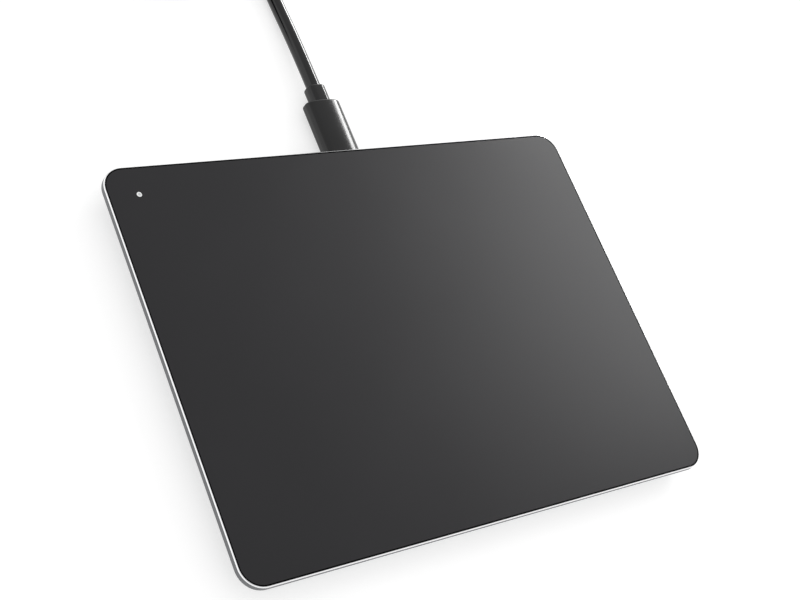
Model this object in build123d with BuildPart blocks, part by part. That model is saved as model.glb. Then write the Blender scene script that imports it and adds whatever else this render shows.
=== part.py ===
"""Wired trackpad for a desk: a dark glass plate in a thin metal frame, hinged at the rear.

A push anywhere towards the front tilts the plate by a fraction of a degree, until a small
switch under its front edge clicks. A cable with a reversible plug leads from the port at the
rear. It can be pulled out, and the length that isn't in use lies in a round coil behind the pad.

The pad stands on its four feet. The origin is on the desk, under the middle of the pad: X runs
to the right, Y to the rear and Z up. All lengths are in millimetres.
"""
import os
from math import pi, radians, sqrt, tan

from build123d import *

os.makedirs("parts", exist_ok=True)

# Outline of the pad
pad_width = 160.0
pad_depth = 118.5
pad_height = 8.0
corner_radius = 6.5
least_radius = 0.3       # a corner that is set far in keeps at least this
overrun = 1.0            # how far a cut runs past what it cuts
half_width = pad_width / 2
half_depth = pad_depth / 2

# Glass plate and what is bonded under it, from the top down
glass_thickness = 1.1
glass_gap = 0.35
glass_bevel = 0.12
adhesive_thickness = 0.15
adhesive_margin = 0.3
sensor_thickness = 0.8
stiffener_thickness = 0.8
glass_low = pad_height - glass_thickness
adhesive_low = glass_low - adhesive_thickness
sensor_low = adhesive_low - sensor_thickness
stiffener_low = sensor_low - stiffener_thickness

# Frame: a polished bevel and a narrow flat round the glass, and a ledge that holds the plate down
rim_bevel = 0.25
rim_flat = 0.1
tab_clearance = 0.05
press_room = 0.4
ledge_inset = 3.6
frame_low = sensor_low + tab_clearance
ledge_top = glass_low - press_room
rim_inset = rim_bevel + rim_flat
glass_inset = rim_inset + glass_gap

# Sensor board and stiffener share one outline, inside the ledge, and the adhesive ends just inside it
board_edge_gap = 0.8
deck_inset = ledge_inset + board_edge_gap
adhesive_inset = deck_inset + adhesive_margin
tab_reach = 1.8
tab_width = 10.0

# Bottom cover: a short upright skirt, then walls that slope in to the floor
standoff = 0.8
floor_thickness = 1.2
skirt_inset = 0.8
skirt_height = 1.0
wall_thickness = 1.2
cavity_shoulder = 0.2
rib_height = 0.7
rib_thickness = 0.8
skirt_low = frame_low - skirt_height
cover_low = standoff
floor_top = cover_low + floor_thickness
slope_run = skirt_low - cover_low
cavity_inset = skirt_inset + wall_thickness
cavity_bend = skirt_low - cavity_shoulder
cavity_run = cavity_bend - floor_top

# Six ears under the frame's ledge carry the cover's screws
ear_width = 8.0
ear_web = 0.7
ear_thickness = 0.6
ear_drop = 2.0
boss_radius = 2.0
boss_inset = 8.5
front_ear_inset = 42.0
rear_ear_inset = 44.0
ear_low = frame_low - ear_drop
screw_radius = 0.8
screw_hole_gap = 0.1
thread_gap = 0.02
screw_head_radius = 1.5
screw_head_height = 0.6
screw_head_gap = 0.15
screw_slot_depth = 0.3
screw_slot_width = 0.35
boss_roof = 0.3

# Rubber feet in shallow pockets of the cover
foot_length = 24.0
foot_width = 7.0
foot_pocket = 0.4
foot_gap = 0.1
foot_inset_x = 22.0
foot_inset_y = 13.25
foot_edge = 0.2

# Rear hinge: a pin in a lug of the stiffener turns in a two-eared bracket
hinge_inset_x = 20.0
hinge_inset_y = 9.25
hinge_drop = 1.25
pin_radius = 0.6
pin_running_gap = 0.04
pin_grip_gap = 0.01
pin_overhang = 0.4
lug_thickness = 1.2
lug_radius = 1.1
ear_plate = 0.8
ear_gap = 0.6
bracket_base = 0.5
bracket_length = 14.0
bracket_depth = 4.6
rivet_radius = 0.7
rivet_head_radius = 1.1
rivet_head_height = 0.45
rivet_gap = 0.05
rivet_inset = 1.8
hinge_x = half_width - hinge_inset_x
hinge_y = half_depth - hinge_inset_y
hinge_z = stiffener_low - hinge_drop

# Click switch under the front of the sensor board, and the set screw that it meets
switch_inset_y = 13.25
switch_size = 5.2
switch_height = 1.2
switch_window_gap = 0.6
plunger_radius = 1.2
plunger_stand = 0.55
plunger_gap = 0.05
flange_radius = 1.6
flange_thickness = 0.28
flange_seat_gap = 0.02
switch_face = 0.2
dome_thickness = 0.12
dome_rise = 0.1
dome_vent_radius = 0.25
click_travel = 0.25
free_play = 0.03
anvil_radius = 1.8
anvil_thickness = 0.8
anvil_stem_radius = 1.0
insert_radius = 1.5
insert_height = 1.5
insert_wall = 1.0
insert_skin = 0.4
switch_y = -(half_depth - switch_inset_y)
switch_low = sensor_low - switch_height
plunger_low = switch_low - plunger_stand
anvil_top = plunger_low - free_play
seat_z = switch_low + switch_face
flange_low = seat_z + flange_seat_gap
flange_top = flange_low + flange_thickness
dome_top = flange_top + free_play + click_travel + dome_rise + dome_thickness

# Status light behind the rear left corner of the glass
light_inset_x = 9.2
light_inset_y = 8.7
light_radius = 0.75
light_gap = 0.08
light_chip_length = 1.6
light_chip_width = 1.0
light_chip_height = 0.5
light_window_radius = 2.0
light_x = -(half_width - light_inset_x)
light_y = half_depth - light_inset_y

# Windows cut in the stiffener
window_length = 20.0
window_width = 24.0
window_radius = 3.0
window_column_shares = (-0.74, -0.37, 0.37, 0.74)    # of the stiffener's half width
window_row_shares = (-0.405, 0.17)                    # of the pad's half depth
sensor_window = 13.0
ribbon_window_length = 20.0
ribbon_window_width = 14.0
notch_gap = 2.4

# Port at the rear: a receptacle set into the main board
port_drop = 2.3
receptacle_width = 8.94
receptacle_height = 3.16
receptacle_wall = 0.3
receptacle_length = 7.6
receptacle_recess = 0.65
receptacle_gap = 0.15
wing_reach = 1.8
wing_length = 3.0
tongue_width = 6.69
tongue_thickness = 0.7
tongue_recess = 1.0
tongue_root = 1.2
pod_width = 16.0
pod_inset = 0.2
pod_thickness = 3.75
contact_pitch = 0.5
contact_width = 0.25
contact_length = 4.0
contact_thickness = 0.04
contacts_per_side = 12
port_z = frame_low - port_drop
mouth_y = half_depth - receptacle_recess
receptacle_back = mouth_y - receptacle_length

# Main board on posts behind the middle of the pad
main_thickness = 0.8
main_depth = 22.0
main_rear_inset = 4.25
main_side_gap = 6.0
main_corner = 1.5
post_radius = 2.0
post_inset = 3.5
board_screw_head_radius = 1.4
board_screw_head_height = 0.6
board_screw_bite = 1.4
main_low = port_z - main_thickness
main_half = half_width - rear_ear_inset - ear_width / 2 - main_side_gap
main_rear = half_depth - main_rear_inset
main_front = main_rear - main_depth

# Parts on the boards
controller_size = 5.0
controller_height = 0.85
touch_chip_size = 7.0
touch_chip_height = 0.85
crystal_length = 3.2
crystal_width = 2.5
crystal_height = 0.7
regulator_length = 2.9
regulator_width = 1.6
regulator_height = 1.0
passive_length = 1.0
passive_width = 0.5
passive_height = 0.4
passive_pitch = 1.3
pin_mark_radius = 0.3
pin_mark_depth = 0.05

# Flat ribbon between the two boards
ribbon_width = 6.0
ribbon_thickness = 0.12
ribbon_rise = 1.25
ribbon_gap = 0.12
socket_length = 8.4
socket_depth = 3.6
socket_height = 1.0
socket_wall = 0.8
ribbon_entry = 1.6
ribbon_reach = 11.0
main_socket_inset = 1.4

# Plug at the pad's end of the cable
plug_width = 8.25
plug_height = 2.4
plug_wall = 0.25
plug_length = 6.65
plug_root = 2.6
plug_gap = 0.15
plug_tip_gap = 0.2
slot_gap = 0.1
slot_spare = 0.6
grip_width = 12.2
grip_height = 6.3
grip_corner = 2.2
grip_length = 18.7
grip_edge = 0.6
boot_width = 6.4
boot_height = 5.2
boot_corner = 2.0
boot_length = 5.8
boot_edge = 0.5
grip_low_y = half_depth + plug_gap
grip_end_y = grip_low_y + grip_length
boot_end_y = grip_end_y + boot_length
plug_tip_y = grip_low_y - plug_length

# Cable: straight behind the plug, then wound in a flat coil of two layers, then the far plug
cable_diameter = 4.5
coil_pitch = 4.8
coil_inner_radius = 16.0
coil_rows = 3                   # whole turns in each layer
coil_centre_y = 154.0
tie_thickness = 0.5
tie_width = 6.0
tie_gap = 0.1
tie_corner = 2.4
tie_tail = 7.0
coil_outer_radius = coil_inner_radius + coil_rows * coil_pitch
coil_low_z = cable_diameter / 2 + tie_thickness + tie_gap
coil_high_z = coil_low_z + coil_pitch
tail_y = coil_centre_y + coil_outer_radius

# Plug at the computer's end of the cable
far_grip_width = 15.6
far_grip_height = 7.6
far_grip_length = 22.0
far_grip_corner = 2.2
far_grip_edge = 1.0
far_boot_length = 9.0
far_boot_width = 7.0
far_boot_height = 5.6
far_boot_corner = 2.4
far_boot_tip = 5.2
far_shell_width = 12.0
far_shell_height = 4.5
far_shell_length = 18.75
far_shell_root = 3.0
far_shell_wall = 0.3
far_shell_corner = 0.5
far_window = 2.2
far_window_inset = 6.0
far_window_pitch = 5.6
far_core_gap = 0.05
far_core_inset = 1.0
far_core_share = 0.5      # of the height inside the shell
far_contact_width = 1.0
far_contact_pitch = 2.3
far_contact_length = 8.0
far_contact_thickness = 0.15
tail_reach = 43.0
far_z = far_grip_height / 2


def corner_at(inset):
    """Radius of the pad's corner on an outline that is set in from the edge."""
    return max(corner_radius - inset, least_radius)


def pad_outline(inset, height):
    """Sketch of the pad's rounded outline, set in from the edge, at one height."""
    with BuildSketch(Plane.XY.offset(height)) as outline:
        RectangleRounded(pad_width - 2 * inset, pad_depth - 2 * inset, corner_at(inset))
    return outline.sketch


def pad_plate(inset, low, high, mode=Mode.ADD):
    """Add or cut a plate with the pad's outline between two heights."""
    extrude(pad_outline(inset, low), amount=high - low, mode=mode)


def pad_taper(low_inset, low, high_inset, high, mode=Mode.ADD):
    """Add or cut a block whose walls slope between two of the pad's outlines."""
    loft([pad_outline(low_inset, low).face(), pad_outline(high_inset, high).face()],
         ruled=True, mode=mode)


def around(middle, width):
    """Low and high ends of a width about its middle."""
    return middle - width / 2, middle + width / 2


def block(x, y, z, mode=Mode.ADD):
    """Add or cut a box between a low and a high place along each axis."""
    with Locations(((x[0] + x[1]) / 2, (y[0] + y[1]) / 2, (z[0] + z[1]) / 2)):
        Box(x[1] - x[0], y[1] - y[0], z[1] - z[0], mode=mode)


def post(place, radius, low, high, mode=Mode.ADD):
    """Add or cut an upright cylinder between two heights."""
    with BuildSketch(Plane.XY.offset(low)) as disc:
        with Locations(place):
            Circle(radius)
    extrude(disc.sketch, amount=high - low, mode=mode)


def bore(place, radius, low, high):
    """Cut an upright round hole that is open at both ends."""
    post(place, radius, low - overrun, high + overrun, Mode.SUBTRACT)


def cross_slot(place, length, low, high):
    """Cut a screw's cross slot, two narrow blocks at right angles."""
    for x_width, y_width in ((length, screw_slot_width), (screw_slot_width, length)):
        block(around(place[0], x_width), around(place[1], y_width), (low, high), Mode.SUBTRACT)


def facing_front(y, z):
    """Plane across the pad, X to the right and Z up, whose extrusions run towards the front."""
    return Plane(origin=(0, y, z), x_dir=(1, 0, 0), z_dir=(0, -1, 0))


def facing_left(x, y, z):
    """Plane along the pad's depth, with Z up, whose extrusions run to the left."""
    return Plane(origin=(x, y, z), x_dir=(0, -1, 0), z_dir=(-1, 0, 0))


def write(part, name):
    """Label a finished piece and write its file."""
    part.part.label = name
    export_step(part.part, f"parts/{name}.step")


# Places of the six ears: a point on the pad's side, and the angle that turns local X outwards
ear_places = [
    Location((half_width, 0, 0), (0, 0, 0)),
    Location((-half_width, 0, 0), (0, 0, 180)),
    Location((half_width - front_ear_inset, -half_depth, 0), (0, 0, -90)),
    Location((-(half_width - front_ear_inset), -half_depth, 0), (0, 0, -90)),
    Location((half_width - rear_ear_inset, half_depth, 0), (0, 0, 90)),
    Location((-(half_width - rear_ear_inset), half_depth, 0), (0, 0, 90)),
]
boss_places = [place * Location((-boss_inset, 0, 0)) for place in ear_places]
boss_points = [(place.position.X, place.position.Y) for place in boss_places]

# Frame
with BuildPart() as frame:
    pad_plate(0, frame_low, pad_height)
    chamfer(frame.faces().sort_by(Axis.Z)[-1].edges(), rim_bevel)
    pad_plate(rim_inset, ledge_top, pad_height + overrun, Mode.SUBTRACT)
    pad_plate(ledge_inset, frame_low - overrun, pad_height, Mode.SUBTRACT)
    with Locations(*ear_places):
        with Locations((-ledge_inset + ear_web / 2, 0, (ear_low + frame_low) / 2)):
            Box(ear_web, ear_width, ear_drop)
        ear_reach = boss_inset + boss_radius - ledge_inset + ear_web
        with Locations((-ledge_inset + ear_web - ear_reach / 2, 0, ear_low + ear_thickness / 2)):
            Box(ear_reach, ear_width, ear_thickness)
    for point in boss_points:
        post(point, boss_radius, floor_top, ear_low)
    for point in boss_points:
        post(point, screw_radius + thread_gap, floor_top - overrun, ear_low + boss_roof, Mode.SUBTRACT)
write(frame, "frame")

# Bottom cover
foot_places = {
    "foot_front_left": (-(half_width - foot_inset_x), -(half_depth - foot_inset_y)),
    "foot_front_right": (half_width - foot_inset_x, -(half_depth - foot_inset_y)),
    "foot_rear_left": (-(half_width - foot_inset_x), half_depth - foot_inset_y),
    "foot_rear_right": (half_width - foot_inset_x, half_depth - foot_inset_y),
}
board_posts = [
    (side * (main_half - post_inset), y)
    for side in (-1, 1)
    for y in (main_front + post_inset, main_rear - post_inset)
]
rivet_places = [
    (side * hinge_x + end * (bracket_length / 2 - rivet_inset), hinge_y)
    for side in (-1, 1)
    for end in (-1, 1)
]
insert_boss_radius = insert_radius + insert_wall
insert_top = floor_top + insert_wall
rib_row_shares = (-0.52, -0.17, 0.2)       # of the half depth
rib_reach = half_width - cavity_inset - cavity_run - rib_thickness
with BuildPart() as bottom_cover:
    pad_taper(skirt_inset + slope_run, cover_low, skirt_inset, skirt_low)
    pad_plate(skirt_inset, skirt_low, frame_low)
    pad_taper(cavity_inset + cavity_run, floor_top, cavity_inset, cavity_bend, Mode.SUBTRACT)
    pad_plate(cavity_inset, cavity_bend, frame_low + overrun, Mode.SUBTRACT)
    for share in rib_row_shares:
        rib_y = share * half_depth
        block((-(rib_reach - boss_inset), rib_reach - boss_inset), around(rib_y, rib_thickness),
              (floor_top, floor_top + rib_height))
    block(around(0, pod_width),
          (half_depth - pod_inset - pod_thickness, half_depth - pod_inset), (cover_low, frame_low))
    with BuildSketch(facing_front(half_depth + overrun, port_z)) as port_hole:
        SlotOverall(receptacle_width + 2 * receptacle_gap, receptacle_height + 2 * receptacle_gap)
    extrude(port_hole.sketch, amount=pod_thickness + pod_inset + 2 * overrun, mode=Mode.SUBTRACT)
    for place in foot_places.values():
        with BuildSketch(Plane.XY.offset(cover_low - overrun)) as pocket:
            with Locations(place):
                SlotOverall(foot_length + 2 * foot_gap, foot_width + 2 * foot_gap)
        extrude(pocket.sketch, amount=overrun + foot_pocket, mode=Mode.SUBTRACT)
    for point in boss_points:
        bore(point, screw_radius + screw_hole_gap, cover_low, floor_top)
        post(point, screw_head_radius + screw_head_gap, cover_low - overrun,
             cover_low + screw_head_height, Mode.SUBTRACT)
    for point in board_posts:
        post(point, post_radius, floor_top, main_low)
        post(point, screw_radius + thread_gap, main_low - board_screw_bite, main_low + overrun,
             Mode.SUBTRACT)
    for point in rivet_places:
        post(point, rivet_radius, floor_top, floor_top + bracket_base)
        post(point, rivet_head_radius, floor_top + bracket_base,
             floor_top + bracket_base + rivet_head_height)
    post((0, switch_y), insert_boss_radius, floor_top, insert_top)
    post((0, switch_y), insert_radius, insert_top - insert_height, insert_top + overrun, Mode.SUBTRACT)
write(bottom_cover, "bottom_cover")

# Countersunk screws that hold the cover to the frame's ears
with BuildPart() as cover_screws:
    for point in boss_points:
        post(point, screw_head_radius, cover_low, cover_low + screw_head_height)
        post(point, screw_radius, cover_low, ear_low)
    for point in boss_points:
        cross_slot(point, screw_head_radius, cover_low - overrun, cover_low + screw_slot_depth)
write(cover_screws, "cover_screws")

# Rubber feet
for name, place in foot_places.items():
    with BuildPart() as foot:
        with BuildSketch(Plane.XY):
            with Locations(place):
                SlotOverall(foot_length, foot_width)
        extrude(amount=cover_low + foot_pocket)
        fillet(foot.faces().sort_by(Axis.Z)[0].edges(), foot_edge)
    write(foot, name)

# Main board
with BuildPart() as main_board:
    with BuildSketch(Plane.XY.offset(main_low)):
        with Locations((0, main_rear - main_depth / 2)):
            RectangleRounded(2 * main_half, main_depth, main_corner)
        with Locations(*board_posts):
            Circle(screw_radius + screw_hole_gap, mode=Mode.SUBTRACT)
    extrude(amount=main_thickness)
    block(around(0, receptacle_width + 2 * receptacle_gap),
          (receptacle_back - receptacle_gap, main_rear + overrun), (cover_low, pad_height), Mode.SUBTRACT)
write(main_board, "main_board")

# Screws of the main board
main_top = main_low + main_thickness
with BuildPart() as board_screws:
    for point in board_posts:
        post(point, board_screw_head_radius, main_top, main_top + board_screw_head_height)
        post(point, screw_radius, main_low - board_screw_bite + screw_slot_depth, main_top)
    board_screw_top = main_top + board_screw_head_height
    for point in board_posts:
        cross_slot(point, board_screw_head_radius, board_screw_top - screw_slot_depth,
                   board_screw_top + overrun)
write(board_screws, "board_screws")

# Receptacle: a drawn steel shell with two wings on the board, and a moulded tongue with contacts
with BuildPart() as usb_receptacle_shell:
    with BuildSketch(facing_front(mouth_y, port_z)):
        SlotOverall(receptacle_width, receptacle_height)
        SlotOverall(receptacle_width - 2 * receptacle_wall, receptacle_height - 2 * receptacle_wall,
                    mode=Mode.SUBTRACT)
    extrude(amount=receptacle_length)
    for side in (-1, 1):
        wing_x = side * (receptacle_width / 2 + (wing_reach - receptacle_wall / 2) / 2)
        block(around(wing_x, wing_reach + receptacle_wall / 2),
              (receptacle_back, receptacle_back + wing_length), (main_top, main_top + receptacle_wall))
write(usb_receptacle_shell, "usb_receptacle_shell")

tongue_tip = mouth_y - tongue_recess
tongue_base = receptacle_back + tongue_root
with BuildPart() as usb_receptacle_tongue:
    with BuildSketch(facing_front(tongue_base, port_z)):
        SlotOverall(receptacle_width - 2 * receptacle_wall, receptacle_height - 2 * receptacle_wall)
    extrude(amount=tongue_root)
    block(around(0, tongue_width), (tongue_base, tongue_tip), around(port_z, tongue_thickness))
write(usb_receptacle_tongue, "usb_receptacle_tongue")

with BuildPart() as usb_receptacle_contacts:
    for side in (-1, 1):
        with Locations((0, tongue_base + tongue_root / 4 + contact_length / 2,
                        port_z + side * (tongue_thickness + contact_thickness) / 2)):
            with GridLocations(contact_pitch, contact_pitch, contacts_per_side, 1):
                Box(contact_width, contact_length, contact_thickness)
write(usb_receptacle_contacts, "usb_receptacle_contacts")


def chip(place, size, low, high, name, mark_up=True):
    """Make a square or oblong moulded chip with a shallow dot by its first pin."""
    with BuildPart() as body:
        block(around(place[0], size[0]), around(place[1], size[1]), (low, high))
        mark = (place[0] - size[0] / 2 + 2 * pin_mark_radius, place[1] - size[1] / 2 + 2 * pin_mark_radius)
        if mark_up:
            post(mark, pin_mark_radius, high - pin_mark_depth, high + overrun, Mode.SUBTRACT)
        else:
            post(mark, pin_mark_radius, low - overrun, low + pin_mark_depth, Mode.SUBTRACT)
    write(body, name)


def passives(places, low, name):
    """Make a group of small ceramic parts, each a block of its own."""
    with BuildPart() as group:
        with Locations(*[(x, y, low + passive_height / 2) for x, y in places]):
            Box(passive_length, passive_width, passive_height)
    write(group, name)


# Parts on the main board, placed as shares of the board's half width and of its depth
controller_place_share = (0.42, 0.5)
crystal_place_share = (-0.4, 0.42)
regulator_place_share = (-0.66, 0.5)


def on_main(share):
    """Place on the main board from shares of its half width and its depth."""
    return share[0] * main_half, main_front + share[1] * main_depth


controller_place = on_main(controller_place_share)
crystal_place = on_main(crystal_place_share)
chip(controller_place, (controller_size, controller_size), main_top, main_top + controller_height,
     "usb_controller_chip")
chip(crystal_place, (crystal_length, crystal_width), main_top, main_top + crystal_height,
     "clock_crystal")
chip(on_main(regulator_place_share), (regulator_length, regulator_width), main_top,
     main_top + regulator_height, "voltage_regulator")
beside_controller = [
    (controller_place[0] + side * (controller_size / 2 + passive_length),
     controller_place[1] + row * passive_pitch)
    for side in (-1, 1)
    for row in (-1, 0, 1)
]
behind_crystal = [
    (crystal_place[0] + step * (passive_length + passive_width),
     crystal_place[1] + crystal_width / 2 + passive_pitch)
    for step in (-1, 0, 1)
]
passives(beside_controller + behind_crystal, main_top, "main_board_passives")

# Ribbon sockets: one on the main board that opens to the front, one under the sensor board that
# opens to the rear, with the ribbon rising between them
main_socket_front = main_front + main_socket_inset
main_ribbon_z = main_top + socket_height / 2
ribbon_slot_width = ribbon_width + 2 * ribbon_gap
ribbon_slot_height = ribbon_thickness + 2 * ribbon_gap
sensor_ribbon_z = main_ribbon_z + ribbon_rise
sensor_socket_rear = main_socket_front - ribbon_reach
with BuildPart() as main_ribbon_socket:
    block(around(0, socket_length), (main_socket_front, main_socket_front + socket_depth),
          (main_top, main_top + socket_height))
    block(around(0, ribbon_slot_width),
          (main_socket_front - overrun, main_socket_front + ribbon_entry + ribbon_gap),
          around(main_ribbon_z, ribbon_slot_height), Mode.SUBTRACT)
write(main_ribbon_socket, "main_ribbon_socket")

with BuildPart() as sensor_ribbon_socket:
    block(around(0, socket_length), (sensor_socket_rear - socket_depth, sensor_socket_rear),
          (sensor_low - socket_height, sensor_low))
    block(around(0, ribbon_slot_width),
          (sensor_socket_rear - ribbon_entry - ribbon_gap, sensor_socket_rear + overrun),
          around(sensor_ribbon_z, ribbon_slot_height), Mode.SUBTRACT)
write(sensor_ribbon_socket, "sensor_ribbon_socket")

ribbon_front = sensor_socket_rear - ribbon_entry
ribbon_rear = main_socket_front + ribbon_entry
ribbon_bend = (ribbon_rear - ribbon_front) / 4
with BuildPart() as sensor_ribbon:
    with BuildLine() as ribbon_line:
        Polyline((0, ribbon_rear, main_ribbon_z), (0, ribbon_rear - ribbon_bend, main_ribbon_z),
                 (0, ribbon_front + ribbon_bend, sensor_ribbon_z), (0, ribbon_front, sensor_ribbon_z))
    with BuildSketch(Plane(origin=(0, ribbon_rear, main_ribbon_z), x_dir=(1, 0, 0), z_dir=(0, -1, 0))):
        Rectangle(ribbon_width, ribbon_thickness)
    sweep(transition=Transition.RIGHT)
write(sensor_ribbon, "sensor_ribbon")

# Hinge brackets, riveted to the cover's floor by two moulded posts each
ear_outer = lug_thickness / 2 + ear_gap + ear_plate
for name, side in (("hinge_bracket_left", -1), ("hinge_bracket_right", 1)):
    with BuildPart() as hinge_bracket:
        block(around(side * hinge_x, bracket_length), around(hinge_y, bracket_depth),
              (floor_top, floor_top + bracket_base))
        for ear_side in (-1, 1):
            ear_x = side * hinge_x + ear_side * (ear_outer - ear_plate / 2)
            with BuildSketch(Plane.YZ.offset(ear_x - ear_plate / 2)) as ear_profile:
                with Locations((hinge_y, (floor_top + hinge_z) / 2)):
                    Rectangle(2 * lug_radius, hinge_z - floor_top)
                with Locations((hinge_y, hinge_z)):
                    Circle(lug_radius)
            extrude(ear_profile.sketch, amount=ear_plate)
        with BuildSketch(Plane.YZ.offset(side * hinge_x - bracket_length / 2)) as pin_hole:
            with Locations((hinge_y, hinge_z)):
                Circle(pin_radius + pin_running_gap)
        extrude(pin_hole.sketch, amount=bracket_length, mode=Mode.SUBTRACT)
        for point in rivet_places:
            bore(point, rivet_radius + rivet_gap, floor_top, floor_top + bracket_base)
    write(hinge_bracket, name)

for name, side in (("hinge_pin_left", -1), ("hinge_pin_right", 1)):
    with BuildPart() as hinge_pin:
        with BuildSketch(Plane.YZ.offset(side * hinge_x - ear_outer - pin_overhang)):
            with Locations((hinge_y, hinge_z)):
                Circle(pin_radius)
        extrude(amount=2 * (ear_outer + pin_overhang))
        chamfer(hinge_pin.edges().filter_by(GeomType.CIRCLE), pin_radius / 4)
    write(hinge_pin, name)

# Set screw that the click switch meets, in a threaded brass insert
with BuildPart() as anvil_insert:
    post((0, switch_y), insert_radius, insert_top - insert_height, insert_top)
    post((0, switch_y), anvil_stem_radius + thread_gap, insert_top - insert_height + insert_skin,
         insert_top + overrun, Mode.SUBTRACT)
write(anvil_insert, "anvil_insert")

with BuildPart() as anvil_screw:
    post((0, switch_y), anvil_radius, anvil_top - anvil_thickness, anvil_top)
    chamfer(anvil_screw.faces().sort_by(Axis.Z)[-1].edges(), anvil_thickness / 4)
    post((0, switch_y), anvil_stem_radius, insert_top - insert_height + 2 * insert_skin,
         anvil_top - anvil_thickness)
write(anvil_screw, "anvil_screw")

# Glass plate
with BuildPart() as touch_glass:
    pad_plate(glass_inset, glass_low, pad_height)
    chamfer(touch_glass.faces().sort_by(Axis.Z)[-1].edges(), glass_bevel)
    bore((light_x, light_y), light_radius + light_gap, glass_low, pad_height)
write(touch_glass, "touch_glass")

with BuildPart() as glass_adhesive:
    pad_plate(adhesive_inset, adhesive_low, glass_low)
    bore((light_x, light_y), light_window_radius, adhesive_low, glass_low)
write(glass_adhesive, "glass_adhesive")

with BuildPart() as sensor_board:
    pad_plate(deck_inset, sensor_low, adhesive_low)
    bore((light_x, light_y), light_radius + light_gap, sensor_low, adhesive_low)
write(sensor_board, "sensor_board")

# Steel stiffener: tabs that catch under the ledge, windows for the parts, lugs for the hinge pins
side_tab_share = 0.47
front_tab_share = 0.75
switch_window = switch_size + 2 * switch_window_gap
window_places = [
    (column_share * (half_width - deck_inset), row_share * half_depth)
    for column_share in window_column_shares
    for row_share in window_row_shares
]
with BuildPart() as stiffener_plate:
    pad_plate(deck_inset, stiffener_low, sensor_low)
    for side in (-1, 1):
        for end in (-1, 1):
            block(around(side * (half_width - deck_inset), 2 * tab_reach),
                  around(end * side_tab_share * half_depth, tab_width), (stiffener_low, sensor_low))
    for step in (-1, 0, 1):
        block(around(step * front_tab_share * half_width, tab_width),
              around(-(half_depth - deck_inset), 2 * tab_reach), (stiffener_low, sensor_low))
    with BuildSketch(Plane.XY.offset(stiffener_low - overrun)) as windows:
        with Locations(*window_places):
            RectangleRounded(window_length, window_width, window_radius)
        with Locations((0, switch_y)):
            Rectangle(switch_window, switch_window)
        Rectangle(sensor_window, sensor_window)
        with Locations((0, sensor_socket_rear + ribbon_window_length / 2 - socket_depth - ribbon_entry)):
            Rectangle(ribbon_window_width, ribbon_window_length)
        with Locations((light_x, light_y)):
            Circle(light_window_radius)
        with Locations((0, half_depth)):
            Rectangle(receptacle_width + 2 * notch_gap, 2 * (half_depth - receptacle_back + notch_gap))
    extrude(windows.sketch, amount=stiffener_thickness + 2 * overrun, mode=Mode.SUBTRACT)
    for side in (-1, 1):
        with BuildSketch(Plane.YZ.offset(side * hinge_x - lug_thickness / 2)) as lug:
            with Locations((hinge_y, (hinge_z + stiffener_low) / 2)):
                Rectangle(2 * lug_radius, stiffener_low - hinge_z)
            with Locations((hinge_y, hinge_z)):
                Circle(lug_radius)
                Circle(pin_radius + pin_grip_gap, mode=Mode.SUBTRACT)
        extrude(lug.sketch, amount=lug_thickness)
write(stiffener_plate, "stiffener_plate")

# Parts under the sensor board
chip((0, 0), (touch_chip_size, touch_chip_size), sensor_low - touch_chip_height, sensor_low,
     "touch_controller_chip", mark_up=False)
beside_touch_chip = [
    (step * passive_pitch, side * (touch_chip_size / 2 + passive_length))
    for side in (-1, 1)
    for step in (-1, 0, 1)
]
passives(beside_touch_chip, sensor_low - passive_height, "sensor_board_passives")

# Status light: a chip under the board and a clear pin that carries its light to the glass
light_chip_low = sensor_low - light_chip_height
with BuildPart() as status_light_chip:
    block(around(light_x, light_chip_length), around(light_y, light_chip_width),
          (light_chip_low, sensor_low))
write(status_light_chip, "status_light_chip")

with BuildPart() as status_light_pin:
    post((light_x, light_y), light_radius, sensor_low, pad_height)
write(status_light_pin, "status_light_pin")

# Click switch: housing, spring dome and sliding plunger
with BuildPart() as click_switch_housing:
    block(around(0, switch_size), around(switch_y, switch_size), (switch_low, sensor_low))
    post((0, switch_y), plunger_radius + plunger_gap, switch_low - overrun, seat_z,
         Mode.SUBTRACT)
    post((0, switch_y), flange_radius + plunger_gap, seat_z, dome_top, Mode.SUBTRACT)
write(click_switch_housing, "click_switch_housing")

dome_middle = (flange_radius + dome_vent_radius) / 2
dome_crown_share = 0.72    # of the rise, half way in
with BuildPart() as click_switch_dome:
    with BuildSketch(Plane.XZ.offset(-switch_y)):
        with BuildLine():
            outer_edge = Line((flange_radius, dome_top), (flange_radius, dome_top - dome_thickness))
            under = ThreePointArc(outer_edge @ 1,
                                  (dome_middle, dome_top - dome_thickness - dome_crown_share * dome_rise),
                                  (dome_vent_radius, dome_top - dome_thickness - dome_rise))
            vent = Line(under @ 1, (dome_vent_radius, dome_top - dome_rise))
            ThreePointArc(vent @ 1, (dome_middle, dome_top - dome_crown_share * dome_rise), outer_edge @ 0)
        make_face()
    revolve(axis=Axis((0, switch_y, 0), (0, 0, 1)))
write(click_switch_dome, "click_switch_dome")

with BuildPart() as click_switch_plunger:
    post((0, switch_y), plunger_radius, plunger_low, flange_low)
    post((0, switch_y), flange_radius, flange_low, flange_top)
    fillet(click_switch_plunger.faces().sort_by(Axis.Z)[0].edges(), plunger_radius / 6)
write(click_switch_plunger, "click_switch_plunger")

# Plug in the port
with BuildPart() as usb_c_plug_shell:
    with BuildSketch(facing_front(grip_low_y + plug_root, port_z)):
        SlotOverall(plug_width, plug_height)
        SlotOverall(plug_width - 2 * plug_wall, plug_height - 2 * plug_wall, mode=Mode.SUBTRACT)
    extrude(amount=plug_root + plug_length)
write(usb_c_plug_shell, "usb_c_plug_shell")

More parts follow.
